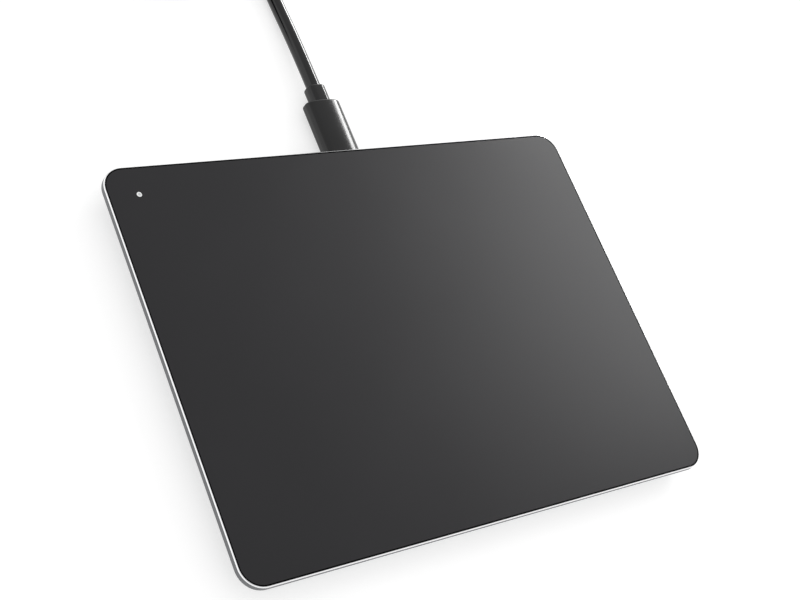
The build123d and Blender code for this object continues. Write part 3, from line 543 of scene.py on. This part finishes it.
# %% Glass plate with its seamed edge and light hole
RIM_BEVEL = 0.25
RIM_FLAT = 0.1
GLASS_GAP = 0.35
GLASS_THICKNESS = 1.1
GLASS_SEAM = 0.12
LIGHT_PLACE = np.array([-70.8, 50.55])
LIGHT_RADIUS = 0.75
LIGHT_HOLE_RADIUS = 0.83
SIDE_STEPS = 96  # so that the fan of faces round the hole stays fine
GLASS_INSET = RIM_BEVEL + RIM_FLAT + GLASS_GAP
GLASS_LOW = PAD_HEIGHT - GLASS_THICKNESS

seam_in, seam_down = rounding(steps=3)
insets = np.concatenate([[GLASS_SEAM, 0.0], GLASS_SEAM * seam_in[::-1]]) + GLASS_INSET
heights = np.concatenate([[GLASS_LOW, GLASS_LOW + GLASS_SEAM], PAD_HEIGHT - GLASS_SEAM * seam_down[::-1]])
plate = pad_rows(insets, heights, SIDE_STEPS)
hole_top = plate[-1].copy()
hole_top[:, :2] = towards(LIGHT_PLACE, plate[-1, :, :2], LIGHT_HOLE_RADIUS)
hole_low = hole_top.copy()
hole_low[:, 2] = GLASS_LOW
plate = np.concatenate([plate, hole_top[None], hole_low[None]])
glass = make_piece("glass_plate", [(plate, row_faces(len(plate), plate.shape[1], close_rows=True))])
wear(glass, satin_glass)
settle(glass, "touch_deck", "tinted_glass", "touch_glass")

# %% [markdown]
# ## The status light
# A pin of milky acrylic stands in the hole and carries the light of a small chip up to the glass.
# Seen from above it's a white dot with a slightly duller middle, where the chip sits. It is a lathe
# shape: a profile of radii and heights turned round an axis, with a shallow dish in its top.

# %% A lathe shape


def turned(place, radii, heights, columns=48):
    """Rows of points of a lathe shape: each radius and height turned all the way round the place."""
    angle = np.linspace(0, 2 * math.pi, columns, endpoint=False)
    radii, heights = np.asarray(radii, float)[:, None], np.asarray(heights, float)[:, None]
    x = place[0] + radii * np.cos(angle)
    y = place[1] + radii * np.sin(angle)
    return np.stack([x, y, np.broadcast_to(heights, x.shape)], axis=-1)


# %% Light pin
PIN_LOW = 5.95
PIN_EDGE = 0.05
DISH_DEPTH = 0.06
DISH_END = 0.04  # share of the dish's radius at which a small flat face closes it
DISH_ROWS = 7
dish = np.linspace(1, DISH_END, DISH_ROWS)
pin_radii = np.concatenate([[LIGHT_RADIUS, LIGHT_RADIUS, LIGHT_RADIUS - PIN_EDGE],
                            (LIGHT_RADIUS - 2 * PIN_EDGE) * dish])
pin_heights = np.concatenate([[PIN_LOW, PAD_HEIGHT - PIN_EDGE, PAD_HEIGHT],
                              PAD_HEIGHT - DISH_DEPTH * (1 - dish ** 2)])
light_pin = make_piece("light_pin", [capped_rows(turned(LIGHT_PLACE, pin_radii, pin_heights))])

# %% Milky acrylic
DULL_RADIUS = 0.25
BRIGHT_RADIUS = 0.55

acrylic, tree, place = start_material("milky_acrylic_light_pin")
offset = add(tree, "ShaderNodeVectorMath", {0: place, 1: (*(LIGHT_PLACE * MM), PAD_HEIGHT * MM)},
             operation="DISTANCE").outputs["Value"]
glow = blend_colours(tree, ramp(tree, offset, DULL_RADIUS * MM, BRIGHT_RADIUS * MM), "#b9bbbc", "#e8e9e9")
finish_material(tree, Base_Color=glow, Roughness=0.25, IOR=1.49,
                Emission_Color=glow, Emission_Strength=0.12)
wear(light_pin, acrylic)
settle(light_pin, "touch_deck", "clear_acrylic", "status_light_pin")

# %% [markdown]
# ## The frame
# A rim of metal goes round the glass. Its section is a small closed profile: the outer wall, the
# diamond-cut bevel, a narrow flat, the inner wall and the ledge under the glass. Carried round the
# pad's outline it closes on itself. A Bevel modifier could break the edges of a plain rim, but here
# every row of faces has to be known by its number, because the rows get different finishes.

# %% Section of the rim
FRAME_LOW = 6.0
LEDGE_TOP = 6.5
LEDGE_INSET = 3.6
EDGE_BREAK = 0.04
RIM_INSET = RIM_BEVEL + RIM_FLAT


def softened(section, reach):
    """A closed section with every corner softened: three points for each corner.

    The first and last stand at the reach from the corner along its two sides. The middle one is a
    quarter of each of them and half the corner, the middle of the curve that the three draw."""
    to_last = np.roll(section, 1, axis=0) - section
    to_next = np.roll(section, -1, axis=0) - section
    first = section + reach * to_last / np.linalg.norm(to_last, axis=1, keepdims=True)
    last = section + reach * to_next / np.linalg.norm(to_next, axis=1, keepdims=True)
    return np.stack([first, first / 4 + section / 2 + last / 4, last], axis=1).reshape(-1, 2)


section = softened(np.array([
    (0.0, FRAME_LOW), (0.0, PAD_HEIGHT - RIM_BEVEL), (RIM_BEVEL, PAD_HEIGHT), (RIM_INSET, PAD_HEIGHT),
    (RIM_INSET, LEDGE_TOP), (LEDGE_INSET, LEDGE_TOP), (LEDGE_INSET, FRAME_LOW),
]), EDGE_BREAK)
rim = pad_rows(section[:, 0], section[:, 1])
rim_columns = rim.shape[1]
rim_faces = row_faces(len(rim), rim_columns, close_rows=True)
print("rim:", len(rim), "rows of", rim_columns, "points")

# %% [markdown]
# ## The ears of the frame
# Six ears hang from the ledge, two at the front, two at the rear and one at each side. Each has an
# upright web, a shelf and a boss whose bore takes a screw of the cover. One ear is made at the
# origin and then turned and moved to its six places, so all of them are alike.

# %% Turned places and blocks


def turned_to(points, place, degrees):
    """Points turned about Z by an angle and moved to a place: the plane's rotation formula."""
    cosine, sine = math.cos(math.radians(degrees)), math.sin(math.radians(degrees))
    x, y = points[..., 0], points[..., 1]
    return np.stack([place[0] + cosine * x - sine * y, place[1] + sine * x + cosine * y,
                     points[..., 2]], axis=-1)


def slab(x, y, z, radius=0.2):
    """Rows of points of an upright block with round corners and softened top and bottom edges."""
    inset = np.array([EDGE_BREAK, 0.0, 0.0, EDGE_BREAK])
    height = np.array([z[0], z[0] + EDGE_BREAK, z[1] - EDGE_BREAK, z[1]])
    flat = rounded_outline(x[1] - x[0] - 2 * inset, y[1] - y[0] - 2 * inset, radius - inset,
                           corner_steps=3)
    return lifted(flat + np.array([(x[0] + x[1]) / 2, (y[0] + y[1]) / 2]), height)


# %% Six ears
EAR_FRONT_X, EAR_REAR_X = 38.0, 36.0
EAR_WIDTH = 8.0
EAR_WEB = 0.7
EAR_THICKNESS = 0.6
EAR_LOW = 4.0
BOSS_RADIUS = 2.0
BOSS_INSET = 8.5
BOSS_BORE = 0.82
BOSS_LOW = 2.0
BORE_TOP = 4.3
BOSS_COLUMNS = 32

# Places on the pad's outline, and how far the ear is turned there, in degrees.
ear_places = [((PAD_WIDTH / 2, 0.0), 0), ((-PAD_WIDTH / 2, 0.0), 180),
              ((EAR_FRONT_X, -PAD_DEPTH / 2), -90), ((-EAR_FRONT_X, -PAD_DEPTH / 2), -90),
              ((EAR_REAR_X, PAD_DEPTH / 2), 90), ((-EAR_REAR_X, PAD_DEPTH / 2), 90)]
ear_side = (-EAR_WIDTH / 2, EAR_WIDTH / 2)
web_inner = -LEDGE_INSET + EAR_WEB
web = slab((-LEDGE_INSET, web_inner), ear_side, (EAR_LOW, FRAME_LOW))
shelf = slab((-BOSS_INSET - BOSS_RADIUS, web_inner), ear_side, (EAR_LOW, EAR_LOW + EAR_THICKNESS))
boss = turned((-BOSS_INSET, 0), [BOSS_BORE, BOSS_RADIUS, BOSS_RADIUS, BOSS_BORE],
              [BOSS_LOW, BOSS_LOW, BORE_TOP, BORE_TOP], BOSS_COLUMNS)
boss_faces = row_faces(len(boss), BOSS_COLUMNS, close_rows=True)
ears = []
for ear_place, turn in ear_places:
    ears += [capped_rows(turned_to(block, ear_place, turn)) for block in (web, shelf)]
    ears.append((turned_to(boss, ear_place, turn), boss_faces))
print("ears:", len(ear_places), "of", len(ears) // len(ear_places), "closed parts each")

# %% [markdown]
# ## The finishes of the frame
# On the real frame the whole bar is blasted and anodised first, and the bevel is cut afterwards.
# Here the bevel's faces get the cut finish, the inner wall and the ledge that show in the gap get the
# near-black painted shade, and all others the blasted one, each by its row's number.

# %% Frame with two finishes and painted gap shade
# A corner of the section has three rows of points, and a row of faces is numbered as the row of
# points before it. So the bevel, with the soft corners at both sides of it, is rows 4 to 7, and the
# inner wall and the ledge are rows 11 to 14.
CUT_ROWS = (4, 5, 6, 7)
GAP_ROWS = (11, 12, 13, 14)
frame_rim = make_piece("frame_rim", [(rim, rim_faces)] + ears)
finish_number = np.zeros(len(frame_rim.data.polygons), np.int32)
for number, rows in ((1, CUT_ROWS), (2, GAP_ROWS)):
    for row in rows:
        finish_number[row * rim_columns:(row + 1) * rim_columns] = number
# Number 2, the gap rows, is the near-black painted shade.
wear(frame_rim, blasted, cut_edge, gap_painted_shade)
frame_rim.data.polygons.foreach_set("material_index", finish_number)
settle(frame_rim, "base", "anodised_aluminium", "frame")
print("faces blasted, cut and shade_painted:", np.bincount(finish_number).tolist())

# %% [markdown]
# ## The rubber feet
# Four flat feet stand in shallow pockets of the cover. Each is a stadium, a rectangle whose ends are
# half circles, with a rounded edge where it meets the desk and fine ribs moulded across its sole, so
# that it grips. The ribs are a wave in the height of the sole, worked out over the whole grid.

# %% Feet
FOOT_LENGTH = 24.0
FOOT_WIDTH = 7.0
FOOT_TOP = 1.2
FOOT_EDGE = 0.2
FOOT_X, FOOT_Y = 58.0, 46.0
END_ROUND = 0.999  # share of the half width, so that an end's side isn't quite nought
SOLE_RIB_PITCH = 2.0
SOLE_RIB_DEPTH = 0.12
SOLE_ROWS = 8
SOLE_END = 0.02  # share of the sole at which a small flat face closes it

edge_in, edge_down = rounding()
inset = np.concatenate([[FOOT_EDGE / 2, 0.0], FOOT_EDGE * edge_in[::-1]])
side = np.concatenate([[FOOT_TOP, FOOT_TOP - FOOT_EDGE / 2], FOOT_EDGE * edge_down[::-1]])
shrink = np.linspace(1.0, SOLE_END, SOLE_ROWS + 1)[1:]
length, width = (np.concatenate([size - 2 * inset, (size - 2 * inset[-1]) * shrink])
                 for size in (FOOT_LENGTH, FOOT_WIDTH))
flat = rounded_outline(length, width, width / 2 * END_ROUND, side_steps=24)
ribs = SOLE_RIB_DEPTH * np.clip(np.cos(2 * math.pi * flat[..., 0] / SOLE_RIB_PITCH), 0, 1) ** 2
inner = np.arange(len(length))[:, None] > len(inset)
height = np.concatenate([side, 0 * shrink])[:, None] + ribs * inner
for end, foot_y in (("front", -FOOT_Y), ("rear", FOOT_Y)):
    for side_name, foot_x in (("left", -FOOT_X), ("right", FOOT_X)):
        node = "foot_" + end + "_" + side_name
        rows = np.concatenate([flat + np.array([foot_x, foot_y]), height[..., None]], axis=-1)
        foot = make_piece(node + "_pad", [capped_rows(rows)], sharp=50.0)
        wear(foot, rubber)
        settle(foot, "base", "foot_rubber", node)

# %% [markdown]
# ## The plugs
# The plug at the pad is an oblong block of black elastomer, moulded over the metal, with a smaller
# boot behind it that keeps the cable from kinking. Both have round corners along their length and
# softened ends. A block with a Bevel modifier would come near, but its corners couldn't be rounder
# along the length than at the ends. Here each is a rounded rectangle carried from one end to the
# other, with its size drawn in at the ends as a quarter round. The broad faces are a little crowned,
# highest along the middle, as such a moulding is so that it lies well between two fingers.

# %% A moulded body from end to end
LEAST_RADIUS = 0.3


def moulded(ends, widths, heights, radius, end_rounds, crown=0.0, steps=5):
    """Rows of a body along its own length: (row, column, (across, up, along)).

    The width and the height go in a straight line from one end to the other. At each end the
    outline shrinks by that end's round while it goes the last of the length. The crown is a share
    of the height: each point's height falls by it times the square of how far the point lies
    towards the side."""
    (start, end), (start_round, end_round) = ends, end_rounds
    back, drawn_in = rounding(steps)
    along = np.concatenate([start + start_round * back[::-1], [(start + end) / 2], end - end_round * back])
    inset = np.concatenate([start_round * drawn_in[::-1], [0.0], end_round * drawn_in])
    wide, high = (np.interp(along, ends, sizes) for sizes in (widths, heights))
    flat = rounded_outline(wide - 2 * inset, high - 2 * inset, np.maximum(radius - inset, LEAST_RADIUS),
                           corner_steps=10, side_steps=12)
    flat[..., 1] *= 1 - crown * (2 * flat[..., 0] / wide[:, None]) ** 2
    return lifted(flat, along)


# %% Its directions and its finish


def along_y(rows, x, z):
    """Turn a body's own (across, up, along) into the pad's X, Z and Y."""
    return np.stack([rows[..., 0] + x, rows[..., 2], rows[..., 1] + z], axis=-1)


def along_x(rows, y, z):
    """Turn a body's own (across, up, along) into the pad's Y, Z and X."""
    return np.stack([rows[..., 2], rows[..., 0] + y, rows[..., 1] + z], axis=-1)


def plug_piece(name, rows, node):
    """A closed piece of black elastomer that rides on the lead and stands for one node."""
    piece = make_piece(name, [capped_rows(rows)])
    wear(piece, black_elastomer)
    settle(piece, "usb_lead", "plug_elastomer", node)
    return piece


# %% Grip and boot at the pad
GRIP_START_Y = 59.4
GRIP_END_Y = 78.1
GRIP_WIDTH, GRIP_HEIGHT, GRIP_RADIUS = 12.2, 6.3, 2.2
BOOT_WIDTH, BOOT_HEIGHT, BOOT_RADIUS = 6.4, 5.2, 2.0

grip_rows = moulded((GRIP_START_Y, GRIP_END_Y), 2 * [GRIP_WIDTH], 2 * [GRIP_HEIGHT], GRIP_RADIUS,
                    end_rounds=(0.2, 0.6), crown=0.33)
pad_grip = plug_piece("pad_plug_grip", along_y(grip_rows, 0.0, PORT_Z), "usb_c_grip")
boot_rows = moulded((GRIP_END_Y, BOOT_END_Y), 2 * [BOOT_WIDTH], 2 * [BOOT_HEIGHT], BOOT_RADIUS,
                    end_rounds=(0.05, 0.5), crown=0.1)
pad_boot = plug_piece("pad_plug_boot", along_y(boot_rows, 0.0, PORT_Z), "usb_c_boot")

# %% Grip and boot at the computer's end
FAR_BOOT_START_X = TAIL_START_X - TAIL_REACH
FAR_BOOT_LENGTH = 9.0
FAR_GRIP_LENGTH = 22.0
FAR_GRIP_START_X = FAR_BOOT_START_X - FAR_BOOT_LENGTH
FAR_GRIP_END_X = FAR_GRIP_START_X - FAR_GRIP_LENGTH
FAR_GRIP_WIDTH, FAR_GRIP_HEIGHT, FAR_GRIP_RADIUS = 15.6, 7.6, 2.2
FAR_BOOT_WIDTHS = (7.0, 5.2)  # at the grip and at the cable
FAR_BOOT_HEIGHTS = (5.6, 5.2)
FAR_BOOT_RADIUS = 2.4

far_grip_rows = moulded((FAR_GRIP_END_X, FAR_GRIP_START_X), 2 * [FAR_GRIP_WIDTH], 2 * [FAR_GRIP_HEIGHT],
                        FAR_GRIP_RADIUS, end_rounds=(0.25, 1.0))
far_grip = plug_piece("computer_plug_grip", along_x(far_grip_rows, TAIL_Y, FAR_Z), "usb_a_grip")
far_boot_rows = moulded((FAR_GRIP_START_X, FAR_BOOT_START_X), FAR_BOOT_WIDTHS, FAR_BOOT_HEIGHTS,
                        FAR_BOOT_RADIUS, end_rounds=(0.05, 0.4))
far_boot = plug_piece("computer_plug_boot", along_x(far_boot_rows, TAIL_Y, FAR_Z), "usb_a_boot")

# %% [markdown]
# ## The strap
# A strap of woven hooks and loops holds the coil at its near side. It goes once round both layers
# and its end lies back on its start. The path is a rounded rectangle in the plane across the cable,
# which climbs by one thickness before the two ends meet. A thin section is carried along it. Its
# width waves a little at both edges, as a woven tape's selvedge does.

# %% Strap round the coil
STRAP_X = -30.4
STRAP_WIDTH = 6.0
STRAP_THICKNESS = 0.5
STRAP_CORNER = 2.4
STRAP_NEAR_Y = 123.65
STRAP_FAR_Y = 138.88
STRAP_RISE = 9.5
STRAP_STEPS = 10
OVERLAP = 6.9  # how far the end lies on the start
OVERLAP_POINTS = 9
OVERLAP_CLIMB = 1 / 5  # share of it in which the end climbs onto the start

loop = rounded_outline(STRAP_FAR_Y - STRAP_NEAR_Y + STRAP_THICKNESS, STRAP_RISE + STRAP_THICKNESS,
                       STRAP_CORNER + STRAP_THICKNESS / 2, corner_steps=STRAP_STEPS, side_steps=16)
loop = loop + np.array([(STRAP_NEAR_Y + STRAP_FAR_Y) / 2, STRAP_THICKNESS + STRAP_RISE / 2])
loop = np.roll(loop, -(STRAP_STEPS + 1), axis=0)  # so it starts behind the first corner, on top
share = np.linspace(0, 1, OVERLAP_POINTS)
over = np.stack([STRAP_FAR_Y - STRAP_CORNER - OVERLAP * share,
                 loop[0, 1] + STRAP_THICKNESS * np.clip(share / OVERLAP_CLIMB, 0, 1)], axis=-1)
strap_path = np.concatenate([loop, over])
print("strap path:", len(strap_path), "points")

# %% Tape carried along the path
TAPE_FILL = 0.96  # share of the thickness, so that the end doesn't cut into the start
TAPE_RADIUS = 0.2
SELVEDGE_WAVE = 0.06
SELVEDGE_PITCH = 0.9

tangent = np.gradient(strap_path, axis=0)
tangent /= np.linalg.norm(tangent, axis=1, keepdims=True)
outward = np.stack([tangent[:, 1], -tangent[:, 0]], axis=-1)
travel = np.concatenate([[0], np.cumsum(np.linalg.norm(np.diff(strap_path, axis=0), axis=1))])
tape = rounded_outline(STRAP_WIDTH - 2 * SELVEDGE_WAVE, TAPE_FILL * STRAP_THICKNESS, TAPE_RADIUS,
                       corner_steps=4, side_steps=6)
wave = 1 + 2 * SELVEDGE_WAVE / STRAP_WIDTH * np.sin(2 * math.pi * travel / SELVEDGE_PITCH)
across = STRAP_X + tape[None, :, 0] * wave[:, None]
middle_line = strap_path[:, None, :] + outward[:, None, :] * tape[None, :, 1:2]
strap_rows = np.concatenate([across[..., None], middle_line], axis=-1)
strap = make_piece("coil_strap", [capped_rows(strap_rows)])

# %% Woven tape
THREAD_PITCH = 0.314
WAVE_PERIOD = math.pi / 10  # from band to band of the wave texture at a scale of one

woven, tree, place = start_material("woven_hook_and_loop_tape")
threads = add(tree, "ShaderNodeTexWave",
              {"Vector": place, "Scale": WAVE_PERIOD / (THREAD_PITCH * MM), "Distortion": 1.5},
              bands_direction="X").outputs["Fac"]
fuzz = grain(tree, place, size=0.35, detail=4.0)
pile = reckon(tree, "ADD", threads, fuzz)
finish_material(
    tree, Base_Color=blend_colours(tree, fuzz, "#1d1d20", "#35353a"),
    Roughness=0.92,
    Sheen_Weight=0.35,
    Sheen_Roughness=0.5,
    Normal=bump(tree, pile, depth=0.06),
)
wear(strap, woven)
settle(strap, "usb_lead", "tie_fabric", "cable_tie")

# %% [markdown]
# ## Finishes of the metal and board pieces
# The pieces that the CAD already shapes keep their own meshes, and only get a finish. Plated steel is
# drawn and bright, stamped steel has rolling lines, circuit boards have a satin mask over copper
# tracks, and chips are fine matt epoxy. The lines of the metals are a few hundredths of a millimetre
# apart, and are drawn coarser here to show.

# %% Metals of the inner pieces
METAL_SPREAD = 0.05  # how far the roughness goes either way
METAL_RELIEF = 0.003


def dress(material, *names):
    """Give the CAD pieces of these names one finish."""
    for name in names:
        wear(nodes[name], material)


def metal(name, dark, light, roughness, line, stretch):
    """A bare metal whose colour, roughness and relief follow fine lines, stretched along an axis."""
    material, tree, place = start_material(name)
    lines = grain(tree, place, line, 2.0, stretch)
    finish_material(
        tree,
        Base_Color=blend_colours(tree, lines, dark, light),
        Metallic=1.0,
        Roughness=between(tree, lines, roughness - METAL_SPREAD, roughness + METAL_SPREAD),
        Normal=bump(tree, lines, METAL_RELIEF),
    )
    return material


# Name, dark and light colour, roughness, distance of the lines in millimetres, stretch.
plated = metal("bright_nickel_plate", "#c2c1bd", "#d0cfcb", 0.20, 0.25, (1, 0.08, 1))
rolled = metal("rolled_spring_steel", "#9b9b99", "#abaaa8", 0.34, 0.20, (0.05, 1, 1))
turned_steel = metal("zinc_plated_screw_steel", "#8e9092", "#a3a5a7", 0.32, 0.15, (1, 1, 0.2))
brass = metal("turned_brass", "#b58f48", "#c9a35a", 0.30, 0.15, (1, 1, 0.1))
gold = metal("thin_gold_plate", "#cfa04a", "#dbb05c", 0.22, 0.10, (1, 0.1, 1))
dress(plated, "usb_receptacle_shell", "usb_c_plug_shell", "usb_a_shell", "clock_crystal")
dress(rolled, "hinge_bracket_left", "hinge_bracket_right", "hinge_pin_left", "hinge_pin_right",
      "stiffener_plate", "click_switch_dome")
dress(turned_steel, "cover_screws", "board_screws", "anvil_screw")
dress(brass, "anvil_insert")
dress(gold, "usb_receptacle_contacts", "usb_a_contacts")
dress(silver_abs, "bottom_cover")

# %% Plastics, epoxy and ceramics
PLASTIC_SPREAD = 0.06  # how far the roughness goes either way


def plastic(name, dark, light, roughness, lump, relief, index=1.5):
    """A moulded or fired surface: two near colours, a roughness that varies and a fine relief."""
    material, tree, place = start_material(name)
    lumps = grain(tree, place, lump, 3.0)
    finish_material(
        tree,
        Base_Color=blend_colours(tree, lumps, dark, light),
        Roughness=between(tree, lumps, roughness - PLASTIC_SPREAD, roughness + PLASTIC_SPREAD),
        IOR=index,
        Normal=bump(tree, lumps, relief),
    )
    return material


# Name, dark and light colour, roughness, size and depth of the lumps in millimetres, index.
black_nylon = plastic("glass_filled_black_nylon", "#1c1c1d", "#262627", 0.45, 0.3, 0.006, 1.53)
natural_nylon = plastic("natural_nylon", "#d2ccb9", "#ddd7c6", 0.48, 0.4, 0.006, 1.53)
epoxy = plastic("moulded_chip_epoxy", "#232325", "#2e2e30", 0.62, 0.15, 0.008, 1.55)
fired = plastic("fired_ceramic", "#8a6a4c", "#9c7a5a", 0.5, 0.1, 0.004, 1.6)
film = plastic("polyimide_film", "#a5601c", "#b87027", 0.22, 1.2, 0.003, 1.7)
foam_tape = plastic("black_foam_tape", "#161617", "#202021", 0.85, 0.25, 0.02, 1.45)
resin = plastic("cast_yellow_resin", "#e3d78c", "#f0e6a6", 0.3, 0.2, 0.003, 1.52)
dress(black_nylon, "usb_receptacle_tongue", "usb_c_plug_insulator", "usb_a_core", "click_switch_housing")
dress(natural_nylon, "main_ribbon_socket", "sensor_ribbon_socket", "click_switch_plunger")
dress(epoxy, "usb_controller_chip", "voltage_regulator", "touch_controller_chip")
dress(fired, "main_board_passives", "sensor_board_passives")
dress(film, "sensor_ribbon")
dress(foam_tape, "glass_adhesive")
dress(resin, "status_light_chip")

# %% Circuit boards
TRACK_CELL = 2.4
TRACK_EDGE = (0.42, 0.5)  # where in a cell the copper stops, as a share of it

solder_mask, tree, place = start_material("solder_mask_over_copper")
tracks = add(tree, "ShaderNodeTexVoronoi", {"Vector": place, "Scale": 1 / (TRACK_CELL * MM)},
             distance="CHEBYCHEV", feature="F1").outputs["Distance"]
edge = ramp(tree, tracks, *TRACK_EDGE)
finish_material(
    tree, Base_Color=blend_colours(tree, edge, "#0d3a20", "#1b5a33"),
    Roughness=0.36,
    IOR=1.55,
    Normal=bump(tree, edge, depth=0.03),
)
dress(solder_mask, "main_board", "sensor_board")

# %% [markdown]
# ## The floor and the light
# The pad was photographed on white, with soft light from the right and from above. A white floor
# lit at a plain level renders a light grey. So the floor and the sky add a little light of their
# own, but only to rays from the camera and to reflections. The object is then lit at a plain level,
# and the soft shadow beside it stays.

# %% Floor
FLOOR_HALF = 3.0  # metres
LIFT = 0.6  # light that the floor adds of its own


def seen_or_mirrored(tree):
    """One for a ray from the camera, a reflection or a ray through glass, and nought for the rest."""
    ray = add(tree, "ShaderNodeLightPath").outputs
    either = reckon(tree, "MAXIMUM", ray["Is Camera Ray"], ray["Is Glossy Ray"])
    return reckon(tree, "MAXIMUM", either, ray["Is Transmission Ray"])


floor_mesh = bpy.data.meshes.new("white_floor")
floor_mesh.from_pydata([(-FLOOR_HALF, -FLOOR_HALF, 0), (FLOOR_HALF, -FLOOR_HALF, 0),
                        (FLOOR_HALF, FLOOR_HALF, 0), (-FLOOR_HALF, FLOOR_HALF, 0)], [], [(0, 1, 2, 3)])
floor = bpy.data.objects.new("white_floor", floor_mesh)
scene.collection.objects.link(floor)
white_floor, tree, place = start_material("white_paper_floor")
fibre = grain(tree, place, size=60.0)
diffuse = add(tree, "ShaderNodeBsdfDiffuse", {"Color": blend_colours(tree, fibre, "#c3c3c3", "#c6c6c6")})
lift = reckon(tree, "MULTIPLY", seen_or_mirrored(tree), LIFT)
own_light = add(tree, "ShaderNodeEmission", {"Color": (1, 1, 1, 1), "Strength": lift})
together = add(tree, "ShaderNodeAddShader", {0: diffuse.outputs["BSDF"], 1: own_light.outputs["Emission"]})
add(tree, "ShaderNodeOutputMaterial", {"Surface": together.outputs["Shader"]})
floor_mesh.materials.append(white_floor)

# %% [markdown]
# ## The sky
# The sky stands for the white walls and the ceiling of the studio. The glass mirrors the ceiling,
# the darker of the two. The bevel and the round sides of the plug mirror the walls, which are dimmer
# on the camera's side. A picture of a studio could do this too, but two ramps over the direction
# need no file, and each level is one number.

# %% Sky
SKY_LEVEL = 0.8  # light that falls on the object
WALL_LEVEL = 1.12  # what a mirror shows of the walls
CEILING_LEVEL = 0.68  # and what it shows of the ceiling
WALL_TOP = 0.5  # the Z of a direction at which the wall starts to turn into the ceiling
CEILING_START = 0.64  # and the Z at which it has
OPEN_LEVEL = 0.85  # share that is left of the light on the camera's side
OPEN_WHOLE = -0.8  # the Y of a direction up to which that side is as dark
OPEN_END = -0.2  # and the Y at which it ends

world = bpy.data.worlds.new("white_studio")
scene.world = world
world.use_nodes = True
tree = world.node_tree
tree.nodes.clear()
direction = add(tree, "ShaderNodeTexCoord").outputs["Generated"]
parts = add(tree, "ShaderNodeSeparateXYZ", {"Vector": direction}).outputs
ceiling = ramp(tree, parts["Z"], WALL_TOP, CEILING_START, WALL_LEVEL, CEILING_LEVEL, "SMOOTHSTEP")
open_side = ramp(tree, parts["Y"], OPEN_WHOLE, OPEN_END, OPEN_LEVEL, 1.0, "SMOOTHSTEP")
mirrored = reckon(tree, "MULTIPLY", ceiling, open_side)
level = ramp(tree, seen_or_mirrored(tree), 0.0, 1.0, SKY_LEVEL, mirrored)
sky = add(tree, "ShaderNodeBackground", {"Color": (1, 1, 1, 1), "Strength": level})
add(tree, "ShaderNodeOutputWorld", {"Surface": sky.outputs["Background"]})
print("sky:", SKY_LEVEL, "on the object, and in mirrors", CEILING_LEVEL, "to", WALL_LEVEL)

# %% [markdown]
# ## Lamps
# A broad soft box stands on the right. Its blurred glow in the satin glass makes the plate brighter
# towards the right. A narrow strip stands behind it. The glass hardly mirrors the strip, but the
# round sides of the plug and the cable do, as a bright line along them. The sky lights the rest.

# %% Two soft boxes


def soft_box(name, place, width, height, roll, power):
    """A rectangular area lamp, aimed at the origin and then rolled about its own line of sight.

    Its place and its size are in metres, the roll in degrees and the power in watts."""
    light = bpy.data.lights.new(name, "AREA")
    light.shape = "RECTANGLE"
    light.size = width
    light.size_y = height
    light.energy = power
    lamp = bpy.data.objects.new(name, light)
    lamp.location = place
    facing = (-Vector(place)).to_track_quat("-Z", "Y")
    lamp.rotation_euler = (facing @ Quaternion((0, 0, 1), math.radians(roll))).to_euler()
    scene.collection.objects.link(lamp)
    print(name, width, "x", height, "m,", power, "W")


soft_box("right_soft_box", (0.844, 0.252, 0.360), width=0.311, height=0.78, roll=-3.7, power=2.2)
soft_box("rear_strip_box", (0.722, 0.544, 0.294), width=0.08, height=0.46, roll=20.0, power=2.5)
scene.view_settings.view_transform = "Standard"

# %% [markdown]
# ## Last update
# The view layer is updated once more, so that every piece stands at its place.

bpy.context.view_layer.update()
